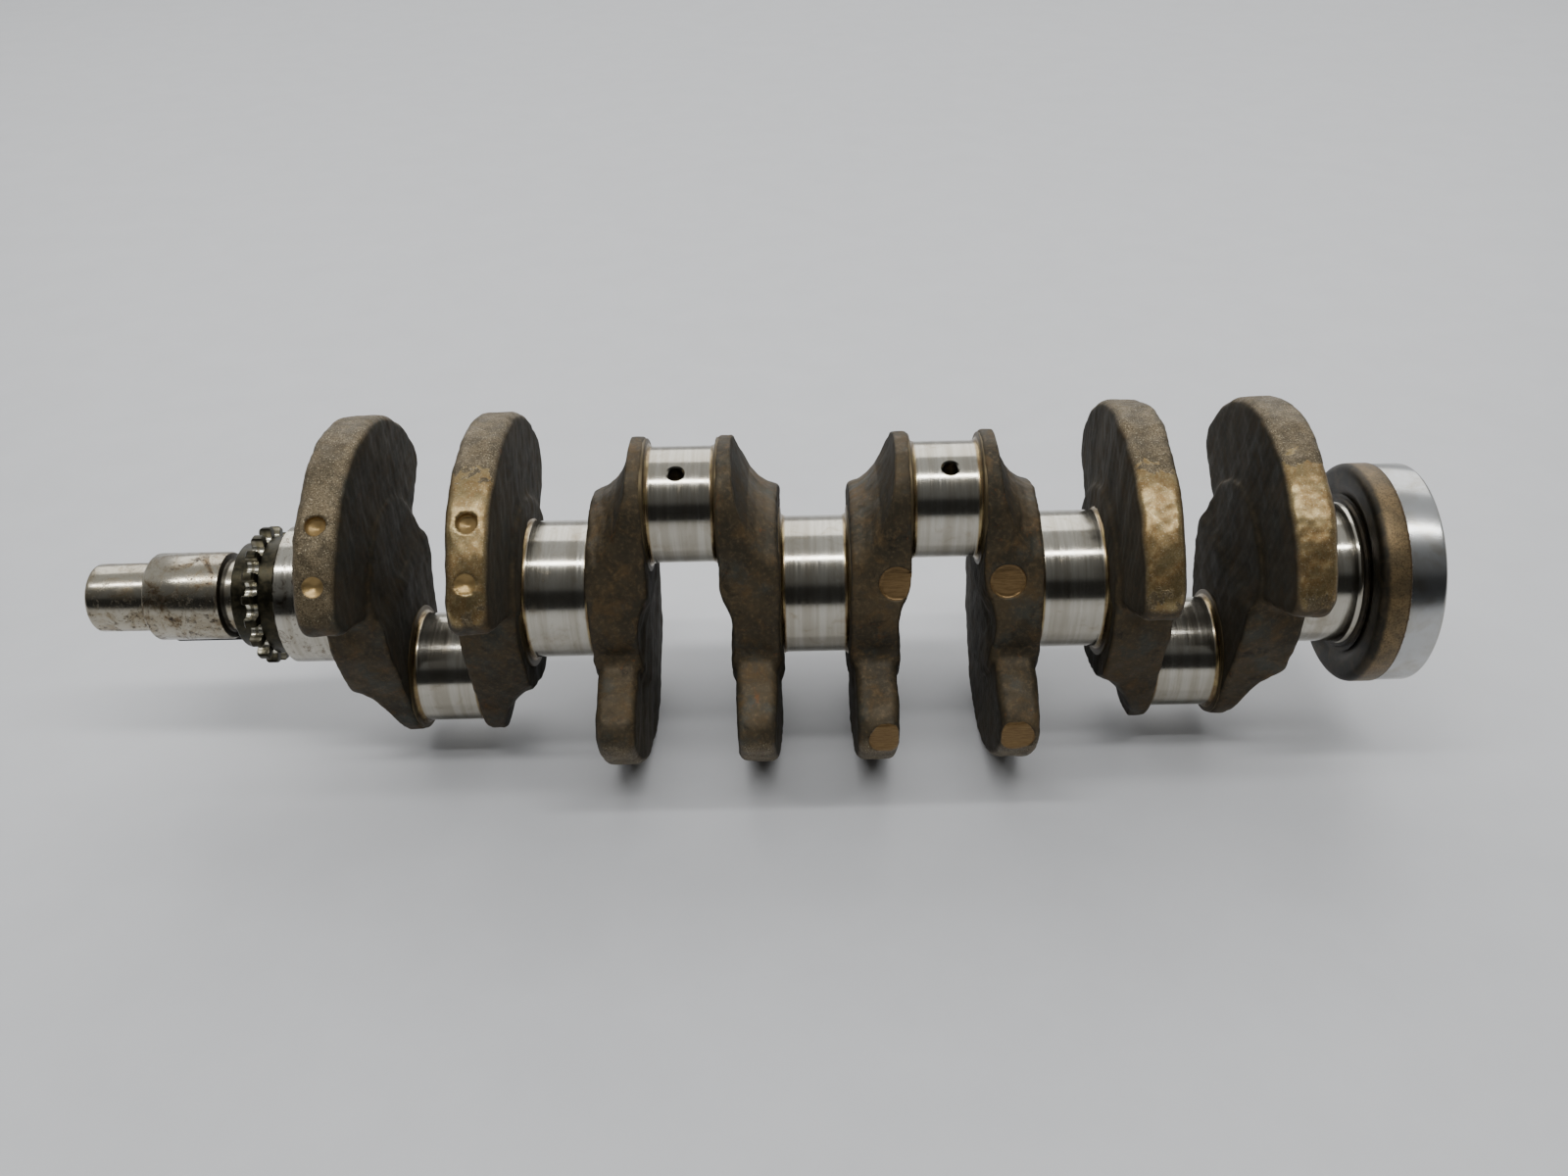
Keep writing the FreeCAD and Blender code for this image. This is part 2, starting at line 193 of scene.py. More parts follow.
def turned(name, outline, segments=192):
    """Body turned about the X axis from an outline of (x, r) points, from its -X end to its +X end.

    An outline that begins and ends on the axis closes at its poles; any other is a closed ring.
    """
    solid = outline[0][1] == 0 and outline[-1][1] == 0
    rows = outline[1:-1] if solid else outline
    points = []
    for x, r in rows:
        for k in range(segments):
            a = 2 * math.pi * k / segments
            points.append((x, r * math.sin(a), r * math.cos(a)))
    faces = []
    count = len(rows)
    for i in range(count - 1 if solid else count):
        j = (i + 1) % count
        for k in range(segments):
            n = (k + 1) % segments
            faces.append((i * segments + k, i * segments + n, j * segments + n, j * segments + k))
    if solid:
        points += [(outline[0][0], 0, 0), (outline[-1][0], 0, 0)]
        first, last = len(points) - 2, len(points) - 1
        for k in range(segments):
            n = (k + 1) % segments
            faces.append((first, n, k))
            faces.append((last, (count - 1) * segments + k, (count - 1) * segments + n))
    return face_out(mesh_object(name, points, faces))


def face_out(obj):
    """Object whose faces all look outwards."""
    def turn(bm):
        bmesh.ops.recalc_face_normals(bm, faces=bm.faces)
        if bm.calc_volume(signed=True) < 0:
            bmesh.ops.reverse_faces(bm, faces=bm.faces)

    return reshaped(obj, turn)


def bend(x, r, radius, from_deg, to_deg, steps=8):
    """Points of an arc in an outline, about (x, r); 0 degrees is +X and 90 is outwards."""
    found = []
    for k in range(steps + 1):
        a = math.radians(from_deg + (to_deg - from_deg) * k / steps)
        found.append((x + radius * math.cos(a), r + radius * math.sin(a)))
    return found


def moved(obj, x=0.0, y=0.0, z=0.0, turn=0.0):
    """Object whose mesh is turned about the X axis by an angle in degrees, then moved, in mm."""
    way = Matrix.Translation(Vector((x, y, z)) * MM) @ Matrix.Rotation(math.radians(turn), 4, "X")
    obj.data.transform(way)
    obj.data.update()
    return obj


def around(make, count, radius, x=0.0):
    """Copies of a part, evenly spaced on a circle around the X axis."""
    angles = [2 * math.pi * k / count for k in range(count)]
    return [moved(make(), x=x, y=radius * math.sin(a), z=radius * math.cos(a)) for a in angles]


def cut(obj, cutters, sharp=35.0):
    """Object with the cutters taken out of it, and the cutters removed."""
    for tool in cutters:
        step = obj.modifiers.new("cut", "BOOLEAN")
        step.operation = "DIFFERENCE"
        step.solver = "EXACT"
        step.object = tool
    bake_modifiers(obj)
    for tool in cutters:
        bpy.data.objects.remove(tool)
    return smooth_by_angle(obj, sharp)


def bake_modifiers(obj):
    """The object's modifiers become plain mesh."""
    bpy.context.view_layer.update()
    shown = obj.evaluated_get(bpy.context.evaluated_depsgraph_get())
    mesh = bpy.data.meshes.new_from_object(shown)
    obj.modifiers.clear()
    obj.data = mesh
    return obj


def throw_dir(angle):
    """Direction turned from an upright throw towards -Y, in degrees."""
    a = math.radians(angle)
    return (0, -math.sin(a), math.cos(a))


def along_shaft(number, x):
    """Place on the shaft of a place x measured from the main side of a web."""
    bay = number // 2
    if number % 2:
        return MAINS[bay + 1] - JOURNAL_W / 2 - x
    return MAINS[bay] + JOURNAL_W / 2 + x


# ---------------- forged webs

def smooth_min(a, b, k):
    """Lower of two distances, blended where they are within k of each other."""
    h = np.maximum(k - np.abs(a - b), 0) / k
    return np.minimum(a, b) - h * h * k / 4


def smooth_max(a, b, k):
    """Higher of two distances, blended where they are within k of each other."""
    return -smooth_min(-a, -b, k)


def slab(flat, x, low, high, edge):
    """Distance to a flat outline given a thickness from low to high, with rounded edges."""
    across = np.abs(x - (low + high) / 2) - (high - low) / 2 + edge
    flat = flat + edge
    outside = np.hypot(np.maximum(flat, 0), np.maximum(across, 0))
    return np.minimum(np.maximum(flat, across), 0) + outside - edge


def cheek_outline(y, z):
    """Distance to the web's outline around main and crankpin: two circles and their tangents."""
    b = (BOSS_MAIN_R - BOSS_PIN_R) / THROW
    a = math.sqrt(1 - b * b)
    y = np.abs(y)
    along = -b * y + a * z
    low = np.hypot(y, z) - BOSS_MAIN_R
    high = np.hypot(y, z - THROW) - BOSS_PIN_R
    side = a * y + b * z - BOSS_MAIN_R
    return np.where(along < 0, low, np.where(along > a * THROW, high, side))


def counterweight_outline(y, z):
    """Distance to the counterweight's sector with its rounded corners."""
    y = np.abs(y)
    tip = (CW_R * math.sin(CW_HALF), -CW_R * math.cos(CW_HALF))
    run = Vector((tip[0] - WAIST[0], tip[1] + WAIST[1])).normalized()
    flank = -(y - WAIST[0]) * run.y + (z + WAIST[1]) * run.x
    return smooth_max(np.hypot(y, z) - CW_R + CW_ROOM[0], flank + CW_ROOM[1], CW_CORNER)


def forging_unevenness(x, y, z, seed):
    """Low swells and dents of a hammered surface, in mm."""
    rng = np.random.default_rng(seed)
    total = np.zeros_like(x)
    for size, depth in ((34, 0.11), (15, 0.07), (7, 0.045), (3.6, 0.028)):
        for _ in range(4):
            way = rng.normal(size=3)
            way /= np.linalg.norm(way)
            phase = rng.uniform(0, 2 * math.pi)
            total += depth * np.sin((x * way[0] + y * way[1] + z * way[2]) * 2 * math.pi / size + phase)
    return total


def round_tool(x, y, z, middle, way):
    """Place of each point against a round tool's axis: how far along it, and how far off it."""
    y, z = y - middle[1], z - middle[2]
    along = y * way[1] + z * way[2]
    return along, np.hypot(x - middle[0], y * way[2] - z * way[1])


def flats_of(number):
    """Middle, angle and depth of each flat milled on a web, with x from the web's main side."""
    return [((x,) + place, angle, depth)
            for x, (place, angle, depth) in zip(FLAT_X.get(number, ()), FLATS)]


def web_distance(x, y, z, number):
    """Distance field of one web for an upright throw: main side at x = 0, crankpin side at x = WEB_W."""
    body = slab(cheek_outline(y, z), x, 0.35, WEB_W - 0.5, 1.4)
    sweep = (np.hypot(y, z) - np.interp(x, BOSS_SWEEP_X, BOSS_SWEEP_R)) * 0.75
    body = smooth_max(body, sweep, 1.6)
    rise = (x - CW_BACK) / (WEB_W - CW_BACK)
    if number in OUTER_WEBS:
        top, foot = PIN_FACE_DROP
        past = (-foot + (foot - top) * rise - z) * 0.6
    else:
        top, foot = PIN_FACE_R
        past = (np.hypot(y, z - THROW) - foot + (foot - top) * rise) * 0.6
    body = smooth_max(body, smooth_min(x - CW_BACK, past, 4.0), 1.6)
    thin = CW_DRAFT * np.abs(y)
    weight = slab(counterweight_outline(y, z), x, CW_X + thin, CW_BACK - thin, 3.4)
    body = smooth_min(body, weight, 5.0)
    body = body + forging_unevenness(x, y, z, 40 + number)
    limit = np.maximum(np.hypot(y, z) - CW_R, np.abs(y) - CW_REACH) + CW_INSIDE
    body = np.maximum(body, limit)
    if number in DRILLED_WEBS:
        for angle, depth in zip(DRILL_ANGLES, DRILL_DEPTH):
            along, off = round_tool(x, y, z, (CW_MIDDLE, 0, 0), throw_dir(180 + angle))
            cone = (CW_R - depth - DRILL_TIP + off * DRILL_SLOPE) - along
            body = np.maximum(body, -np.maximum(off - DRILL_R, cone))
    for middle, angle, depth in flats_of(number):
        along, off = round_tool(x, y, z, middle, throw_dir(angle))
        body = np.maximum(body, -np.maximum(off - FLAT_R, -depth - along))
    return body


def surface_net(values, corner, step):
    """Points and quads of the surface where a sampled field crosses zero, one point per crossed cell."""
    inside = values < 0
    shape = values.shape
    cells = tuple(n - 1 for n in shape)
    total = np.zeros(cells + (3,))
    count = np.zeros(cells)
    corners = [(i, j, k) for i in (0, 1) for j in (0, 1) for k in (0, 1)]

    def at(array, c):
        """Values at one corner of every cell."""
        return array[c[0]:c[0] + cells[0], c[1]:c[1] + cells[1], c[2]:c[2] + cells[2]]

    for a in corners:
        for axis in range(3):
            if a[axis]:
                continue
            b = tuple(1 if i == axis else a[i] for i in range(3))
            va, vb = at(values, a), at(values, b)
            crossed = at(inside, a) != at(inside, b)
            t = np.where(crossed, va / np.where(crossed, va - vb, 1), 0)
            for i in range(3):
                place = a[i] + (t if i == axis else 0)
                total[..., i] += np.where(crossed, place, 0)
            count += crossed
    used = count > 0
    index = np.full(cells, -1)
    index[used] = np.arange(used.sum())
    base = np.stack(np.nonzero(used), axis=1)
    points = (base + total[used] / count[used][:, None]) * step + np.array(corner)
    quads = []
    for axis in range(3):
        u, v = (axis + 1) % 3, (axis + 2) % 3
        lo = [slice(None)] * 3
        hi = [slice(None)] * 3
        lo[axis] = slice(0, -1)
        hi[axis] = slice(1, None)
        crossed = inside[tuple(lo)] != inside[tuple(hi)]
        edge = np.stack(np.nonzero(crossed), axis=1)
        keep = (edge[:, u] > 0) & (edge[:, v] > 0) & (edge[:, u] < cells[u]) & (edge[:, v] < cells[v])
        edge = edge[keep]
        leaving = inside[tuple(edge.T)]
        ring = []
        for du, dv in ((1, 1), (0, 1), (0, 0), (1, 0)):
            cell = edge.copy()
            cell[:, u] -= du
            cell[:, v] -= dv
            ring.append(index[tuple(cell.T)])
        ring = np.stack(ring, axis=1)
        ring[~leaving] = ring[~leaving][:, ::-1]
        quads.append(ring)
    return points, np.concatenate(quads)


def web_mesh(number, step=0.7):
    """Mesh of one web, moved to its place on the shaft."""
    corner = np.array((-2.0, -61.0, -68.0))
    far = np.array((WEB_W + 2.0, 61.0, 62.0))
    axes = [np.arange(corner[i], far[i] + step, step) for i in range(3)]
    x, y, z = np.meshgrid(*axes, indexing="ij")
    points, quads = surface_net(web_distance(x, y, z, number), corner, step)
    points[:, 0] = along_shaft(number, points[:, 0])
    if number % 2:
        quads = quads[:, ::-1]
    if SIDES[number // 2] < 0:
        points[:, 1:] *= -1
    name = "forged_web_%d" % (number + 1)
    mesh = bpy.data.meshes.new(name)
    mesh.from_pydata((points * MM).tolist(), [], quads.tolist())
    mesh.update()
    mesh.shade_smooth()
    return new_object(name, mesh)


# ---------------- journals

def journal_outline(radius, x0, x1, ring_left=0.0, ring_right=0.0):
    """Outline of a ground journal; beside a web it ends in a rolled fillet and a machined ring."""
    if ring_left:
        points = [(x0 - RING_ROOT, 0), (x0 - RING_ROOT, ring_left), (x0 - 0.2, ring_left),
                  (x0, ring_left - 0.25)]
        points += bend(x0 + FILLET, radius + FILLET, FILLET, 180, 270)
    else:
        points = [(x0, 0), (x0, radius - 1.0), (x0 + 0.9, radius)]
    if ring_right:
        points += bend(x1 - FILLET, radius + FILLET, FILLET, 270, 360)
        points += [(x1, ring_right - 0.25), (x1 + 0.2, ring_right), (x1 + RING_ROOT, ring_right),
                   (x1 + RING_ROOT, 0)]
    else:
        points += [(x1 - 0.9, radius), (x1, radius - 1.0), (x1, 0)]
    return points


def oil_hole(x, radius, angle):
    """Cutter for an oil drilling with a countersunk mouth on a journal's surface."""
    flare = 2.0
    mouth = radius - OIL_CHAMFER
    outline = [(2.0, 0), (2.0, OIL_R), (mouth, OIL_R),
               (radius + flare, OIL_R + OIL_CHAMFER + flare), (radius + flare, 0)]
    tool = turned("oil_drill", outline, segments=40)
    turn = Vector((1, 0, 0)).rotation_difference(Vector(throw_dir(angle))).to_matrix().to_4x4()
    tool.data.transform(Matrix.Translation(Vector((x, 0, 0)) * MM) @ turn)
    return tool


def main_journal(n):
    """Main journal; the first has no web in front of it, and the last ends against the flange."""
    x0 = X_MAIN_1 if n == 0 else MAINS[n] - JOURNAL_W / 2
    x1 = X_FLANGE if n == 4 else MAINS[n] + JOURNAL_W / 2
    if n == 4:
        outline = journal_outline(MAIN_R, x0, x1 - 0.2, RING_R, FLANGE_ROOT_R)
    else:
        outline = journal_outline(MAIN_R, x0, x1, RING_R if n else 0.0, RING_R)
    obj = turned("ground_main_%d" % (n + 1), outline)
    return cut(obj, [oil_hole((x0 + x1) / 2, MAIN_R, MAIN_OIL_ANGLE[n])])


def crankpin(n):
    """Crankpin, made on the shaft's axis and then moved out to its throw."""
    x0 = PINS[n] - JOURNAL_W / 2
    x1 = PINS[n] + JOURNAL_W / 2
    obj = turned("ground_pin_%d" % (n + 1), journal_outline(PIN_R, x0, x1, PIN_RING_R, PIN_RING_R))
    obj = cut(obj, [oil_hole(PINS[n] + PIN_OIL_SHIFT[n], PIN_R, PIN_OIL_ANGLE)])
    return moved(obj, z=SIDES[n] * THROW, turn=0 if SIDES[n] > 0 else 180)


# ---------------- snout

def snout_nose():
    """Front end of the snout, with the bolt hole in it."""
    x0, x1 = X_FRONT, X_SEAT
    hole, corner = 5.4, 1.6
    outline = [(x0 + 32, 0), (x0 + 30, hole), (x0 + 2.5, hole), (x0, hole + 2.5), (x0, NOSE_R - corner)]
    outline += bend(x0 + corner, NOSE_R - corner, corner, 180, 90)
    outline += [(x1 - 1.0, NOSE_R), (x1, 12.0), (x1 + 0.5, 12.0), (x1 + 0.5, 0)]
    return turned("snout_nose_turned", outline)


def keyway_cutter():
    """Cutter for the key's groove."""
    return key_shape("keyway", KEY_W, -18.2, 0.0)


def key_shape(name, width, z0, edge):
    """Bar with rounded ends lying along the underside of the snout."""
    x0, x1 = span("snout_key")
    r = width / 2
    arc = [math.radians(a) for a in range(0, 181, 10)]
    plan = [(x1 - r + r * math.sin(a), -r * math.cos(a)) for a in arc]
    plan += [(x0 + r - r * math.sin(a), r * math.cos(a)) for a in arc]
    bm = bmesh.new()
    face = bm.faces.new([bm.verts.new((x * MM, y * MM, z0 * MM)) for x, y in plan])
    grown = bmesh.ops.extrude_face_region(bm, geom=[face])
    top = [v for v in grown["geom"] if isinstance(v, bmesh.types.BMVert)]
    bmesh.ops.translate(bm, verts=top, vec=(0, 0, (KEY_TOP - z0) * MM))
    bmesh.ops.recalc_face_normals(bm, faces=bm.faces)
    if edge:
        rims = [e for e in bm.edges if e.calc_face_angle(0) > 1.0]
        bmesh.ops.bevel(bm, geom=rims, offset=edge * MM, segments=3, affect="EDGES", profile=0.5)
    mesh = bpy.data.meshes.new(name)
    bm.to_mesh(mesh)
    bm.free()
    mesh.transform(Matrix.Rotation(math.radians(-KEY_ANGLE), 4, "X"))
    return smooth_by_angle(new_object(name, mesh), 40)


def pulley_seat():
    """Ground seat of the pulley, with its keyway."""
    x0, x1 = X_SEAT, X_UNDERCUT
    outline = [(x0, 0), (x0, 15.0), (x0 + 0.35, 15.55), (x0 + 1.1, SEAT_R),
               (x1 - 0.8, SEAT_R), (x1 - 0.2, 15.7), (x1, 15.2), (x1, 0)]
    return cut(turned("pulley_seat_ground", outline), [keyway_cutter()])


def sprocket_seat():
    """Undercut groove, and the seat under the sprocket."""
    x0, x1 = X_UNDERCUT, X_SPROCKET
    groove, corner = 14.0, 0.8
    outline = [(x0 - 0.5, 0), (x0 - 0.5, groove), (x0, groove)]
    outline += bend(x0 + corner, groove, corner, 180, 270)
    outline += bend(x1 - corner, groove, corner, 270, 360)
    outline += [(x1, 15.2), (x1 + 0.5, SEAT_R), (X_MAIN_1, SEAT_R), (X_MAIN_1, 0)]
    return cut(turned("sprocket_seat_ground", outline), [keyway_cutter()])


# ---------------- rings of parts

def feed(tree, socket, value):
    """Links a socket to another node's output, or sets it to a value."""
    if isinstance(value, bpy.types.NodeSocket):
        tree.links.new(value, socket)
    elif value is not None:
        socket.default_value = value


def wired(tree, kind, inputs=None, **settings):
    """Outputs of a new node with these settings, whose inputs take a value or another node's output."""
    node = tree.nodes.new(kind)
    for name, value in settings.items():
        setattr(node, name, value)
    for key, value in (inputs or {}).items():
        feed(tree, node.inputs[key], value)
    return node.outputs


def geometry_tree(name, kinds):
    """Empty Geometry Nodes tree, the identifiers of its inputs, and the inputs themselves."""
    tree = bpy.data.node_groups.new(name, "GeometryNodeTree")
    face = tree.interface
    face.new_socket("Geometry", in_out="INPUT", socket_type="NodeSocketGeometry")
    keys = [face.new_socket(label, in_out="INPUT", socket_type="NodeSocket" + kind).identifier
            for label, kind in kinds.items()]
    face.new_socket("Geometry", in_out="OUTPUT", socket_type="NodeSocketGeometry")
    return tree, keys, tree.nodes.new("NodeGroupInput").outputs


def close_tree(tree, shape, finish):
    """Ends a Geometry Nodes tree with plain geometry in a finish."""
    real = wired(tree, "GeometryNodeRealizeInstances", {0: shape})[0]
    wired(tree, "NodeGroupOutput", {
        0: wired(tree, "GeometryNodeSetMaterial", {"Geometry": real, "Material": finish})[0]})


def grown_from(tree, keys, name, values):
    """Plain mesh that a Geometry Nodes tree makes from these values for its inputs."""
    obj = new_object(name, bpy.data.meshes.new(name))
    step = obj.modifiers.new(name, "NODES")
    step.node_group = tree
    for key, value in zip(keys, values):
        step[key] = value
    return bake_modifiers(obj)


def ring_tree():
    """Geometry Nodes tree that sets copies of a part around the X axis, each turned outwards."""
    tree, keys, given = geometry_tree("ring_of_parts", {
        "Part": "Object", "Count": "Int", "Circle radius": "Float",
        "Place along shaft": "Float", "Finish": "Material"})
    line = wired(tree, "GeometryNodeMeshLine", {"Count": given["Count"]})[0]
    index = wired(tree, "GeometryNodeInputIndex")[0]
    share = wired(tree, "ShaderNodeMath", {0: index, 1: given["Count"]}, operation="DIVIDE")[0]
    angle = wired(tree, "ShaderNodeMath", {0: share, 1: 2 * math.pi}, operation="MULTIPLY")[0]
    turn = wired(tree, "ShaderNodeCombineXYZ", {"X": angle})[0]
    arm = wired(tree, "ShaderNodeCombineXYZ", {
        "X": given["Place along shaft"], "Z": given["Circle radius"]})[0]
    swing = wired(tree, "ShaderNodeVectorRotate", {"Vector": arm, "Angle": angle}, rotation_type="X_AXIS")[0]
    put = wired(tree, "GeometryNodeSetPosition", {"Geometry": line, "Position": swing})[0]
    source = wired(tree, "GeometryNodeObjectInfo", {"Object": given["Part"]})["Geometry"]
    copies = wired(tree, "GeometryNodeInstanceOnPoints", {
        "Points": put, "Instance": source, "Rotation": turn})[0]
    close_tree(tree, copies, given["Finish"])
    return tree, keys


def ring_of(name, part, count, radius, place, finish):
    """Plain mesh of copies of a part around the shaft's axis; the single part is removed."""
    obj = grown_from(*RING_TREE, name, (part, count, radius * MM, place * MM, finish))
    bpy.data.objects.remove(part)
    return obj


def joined(obj, others):
    """One object from several, keeping every material."""
    bm = bmesh.new()
    materials = []
    for item in [obj] + others:
        before = len(bm.faces)
        bm.from_mesh(item.data)
        bm.faces.ensure_lookup_table()
        slots = [m for m in item.data.materials] or [None]
        for m in slots:
            if m not in materials:
                materials.append(m)
        for face in bm.faces[before:]:
            face.material_index = materials.index(slots[min(face.material_index, len(slots) - 1)])
    bm.to_mesh(obj.data)
    bm.free()
    obj.data.materials.clear()
    for m in materials:
        obj.data.materials.append(m)
    for item in others:
        bpy.data.objects.remove(item)
    return obj


RING_TREE = ring_tree()


# ---------------- chain sprocket

TEETH = 18
PITCH_R = 8.0 / 2 / math.sin(math.pi / TEETH)
TIP_R = 25.1
TEETH_X = (-200.8, -196.4)
ROLLER_R = 2.6


def tooth_outline():
    """Half a tooth and its gap as (sideways, outwards) points, from the gap's middle to the tooth's."""
    half = math.pi / TEETH
    seat = Vector((PITCH_R * math.sin(half), PITCH_R * math.cos(half)))
    inward = -seat.normalized()
    points = []
    for k in range(9):
        a = math.radians(-68 * k / 8)
        turned_way = Vector((inward.x * math.cos(a) - inward.y * math.sin(a),
                             inward.x * math.sin(a) + inward.y * math.cos(a)))
        points.append(seat + turned_way * ROLLER_R)
    foot, tip = points[-1], Vector((1.3, TIP_R - 0.1))
    belly = (foot + tip) / 2 + Vector((0.35, 0.2))
    for k in range(1, 6):
        t = k / 5
        points.append(foot * (1 - t) ** 2 + belly * 2 * t * (1 - t) + tip * t * t)
    points.append(Vector((0.7, TIP_R)))
    points.append(Vector((0.0, TIP_R)))
    return points


def tooth():
    """One tooth with half a gap each side, open where it meets its neighbours."""
    half = tooth_outline()
    outline = half + [Vector((-p.x, p.y)) for p in reversed(half[:-1])]
    x0, x1 = TEETH_X
    middle = (x0 + x1) / 2
    stations = ((x0 - middle, 1.0), (x0 - middle + 0.25, 0.45), (x0 - middle + 0.8, 0.0),
                (x1 - middle - 0.8, 0.0), (x1 - middle - 0.25, 0.45), (x1 - middle, 1.0))
    inner = 19.4
    points, faces = [], []
    for x, lowering in stations:
        for p in outline:
            away = max(0.0, (p.length - 21.0) / (TIP_R - 21.0))
            q = p * (1 - lowering * 0.95 * away / p.length)
            points.append((x, q.x, q.y - PITCH_R))
    n = len(outline)
    for s in range(len(stations) - 1):
        for k in range(n - 1):
            faces.append((s * n + k, s * n + k + 1, (s + 1) * n + k + 1, (s + 1) * n + k))
    base = len(points)
    for x in (stations[0][0], stations[-1][0]):
        for p in outline:
            a = math.atan2(p.x, p.y)
            points.append((x, inner * math.sin(a), inner * math.cos(a) - PITCH_R))
    for end, row in ((0, 0), (1, len(stations) - 1)):
        for k in range(n - 1):
            quad = (row * n + k, row * n + k + 1, base + end * n + k + 1, base + end * n + k)
            faces.append(quad[::-1] if end == 0 else quad)
    return mesh_object("one_tooth", points, faces)


def timing_sprocket(finish):
    """Toothed ring between a front and a back hub, bored for the snout and cut for the key."""
    x0, x1 = X_SPROCKET, X_MAIN_1
    t0, t1 = TEETH_X
    hub = [(x0 + 0.5, 16.0), (x0, 16.4), (x0, 18.4)] + bend(x0 + 0.8, 18.4, 0.8, 180, 90, 5)
    hub += bend(t0 - 0.7, 19.9, 0.7, 270, 360, 5)
    hub += [(t0, 20.0), (t0 + 0.1, 20.1), (t1 - 0.1, 20.1), (t1, 20.4)]
    hub += [(t1, 21.2), (t1 + 0.3, 21.5)] + bend(x1 - 0.8, 20.7, 0.8, 90, 0, 5)
    hub += [(x1, 16.4), (x1 - 0.5, 16.0)]
    body = cut(turned("timing_sprocket_wheel", hub), [keyway_cutter()])
    body.data.materials.append(finish)
    teeth = ring_of("sprocket_teeth", tooth(), TEETH, PITCH_R, (t0 + t1) / 2, finish)

    def weld(bm):
        bmesh.ops.remove_doubles(bm, verts=bm.verts, dist=0.01 * MM)
        bmesh.ops.recalc_face_normals(bm, faces=bm.faces)

    smooth_by_angle(reshaped(teeth, weld), 30)
    return joined(body, [teeth])


# ---------------- flange and pilot bearing

def rear_flange(thread):
    """Flywheel flange with its forged band, seal band, bearing bore and tapped bolt holes."""
    x0, x1, seal = X_FLANGE, X_END, X_SEAL
    bore_back, corner = x1 - 12.0, 1.3
    outline = [(x0 - 0.6, 0), (x0 - 0.6, FLANGE_ROOT_R - 0.3), (x0 + 0.2, 27.6)]
    outline += bend(x0 + 1.4, 29.0, 1.2, 230, 180, 4)[::-1][:1]
    outline += [(x0 + 0.9, 28.6), (x0 + 0.9, 30.4), (x0 + 0.25, 31.4), (x0, 33.0)]
    outline += bend(x0 + 3.2, FLANGE_R - 3.2, 3.2, 180, 90, 8)
    outline += [(seal - 0.5, FLANGE_R), (seal - 0.15, 39.8), (seal, 39.45)]
    outline += [(seal + 0.5, 39.45), (seal + 0.8, 39.6)]
    outline += bend(x1 - corner, 38.3, corner, 90, 0, 6)
    outline += [(x1, 16.9), (x1 - 0.9, BEARING_R), (bore_back, BEARING_R), (bore_back, 9.8),
                (bore_back - 0.8, 9.0), (x1 - 19.0, 9.0), (x1 - 21.0, 0)]
    body = turned("rear_flange_turned", outline)
    tapped = [(x1 - 19.5, 0), (x1 - 17.0, 4.9), (x1 - 0.9, 4.9), (x1 + 1.0, 6.8), (x1 + 1.0, 0)]
    body = cut(body, around(lambda: turned("bolt_drill", tapped, 48), FLYWHEEL_HOLES, BOLT_CIRCLE_R))
    body.data.materials.append(thread)
    turns = ring_of("bolt_threads", thread_turns(x1 - 16.5, x1 - 0.8, 4.95, thread),
                    FLYWHEEL_HOLES, BOLT_CIRCLE_R, 0.0, thread)
    return joined(body, [turns])


def helix_tree():
    """Geometry Nodes tree that sweeps a small ridge along the turns of a thread."""
    tree, keys, given = geometry_tree("thread_turns", {
        "Turns": "Float", "Thread radius": "Float", "Ridge": "Float", "Length": "Float",
        "Place along shaft": "Float", "Finish": "Material"})
    radius = given["Thread radius"]
    spiral = wired(tree, "GeometryNodeCurveSpiral", {
        "Resolution": 32, "Rotations": given["Turns"], "Start Radius": radius, "End Radius": radius,
        "Height": given["Length"]})[0]
    ridge = wired(tree, "GeometryNodeCurvePrimitiveCircle", {"Resolution": 4, "Radius": given["Ridge"]})[0]
    sweep = wired(tree, "GeometryNodeCurveToMesh", {
        "Curve": spiral, "Profile Curve": ridge, "Fill Caps": True})[0]
    offset = wired(tree, "ShaderNodeCombineXYZ", {"X": given["Place along shaft"]})[0]
    lay = wired(tree, "GeometryNodeTransform", {
        "Geometry": sweep, "Translation": offset, "Rotation": (0, math.radians(90), 0)})[0]
    close_tree(tree, lay, given["Finish"])
    return tree, keys


HELIX_TREE = helix_tree()


def thread_turns(x0, x1, radius, finish):
    """Ridge of an inner thread from x0 to x1, on the X axis."""
    length = x1 - x0
    return grown_from(*HELIX_TREE, "thread", (length / THREAD_PITCH, radius * MM, THREAD_RIDGE * MM,
                                              length * MM, x0 * MM, finish))


def bearing_ring(name, inner, outer):
    """Bearing ring with rounded corners and the ball track on the wall that faces the balls."""
    x0, x1 = X_BEARING
    c = 0.6
    inside = outer < BALL_CIRCLE_R
    gap = BALL_CIRCLE_R - outer if inside else inner - BALL_CIRCLE_R
    half = math.degrees(math.acos(gap / TRACK_R))
    way = 270 if inside else 90
    track = bend((x0 + x1) / 2, BALL_CIRCLE_R, TRACK_R, way - half, way + half, 12)
    outline = [(x0, inner + c)] + bend(x0 + c, outer - c, c, 180, 90, 4)
    if inside:
        outline += track
    outline += bend(x1 - c, outer - c, c, 90, 0, 4) + bend(x1 - c, inner + c, c, 0, -90, 4)
    if not inside:
        outline += track
    return turned(name, outline + [(x0 + c, inner)], 128)


def ball(scale=1.0):
    """One ball of the bearing."""
    bm = bmesh.new()
    bmesh.ops.create_icosphere(bm, subdivisions=4, radius=BALL_R * MM)
    mesh = bpy.data.meshes.new("ball")
    bm.to_mesh(mesh)
    bm.free()
    mesh.transform(Matrix.Scale(scale, 4))
    mesh.shade_smooth()
    return new_object("ball", mesh)


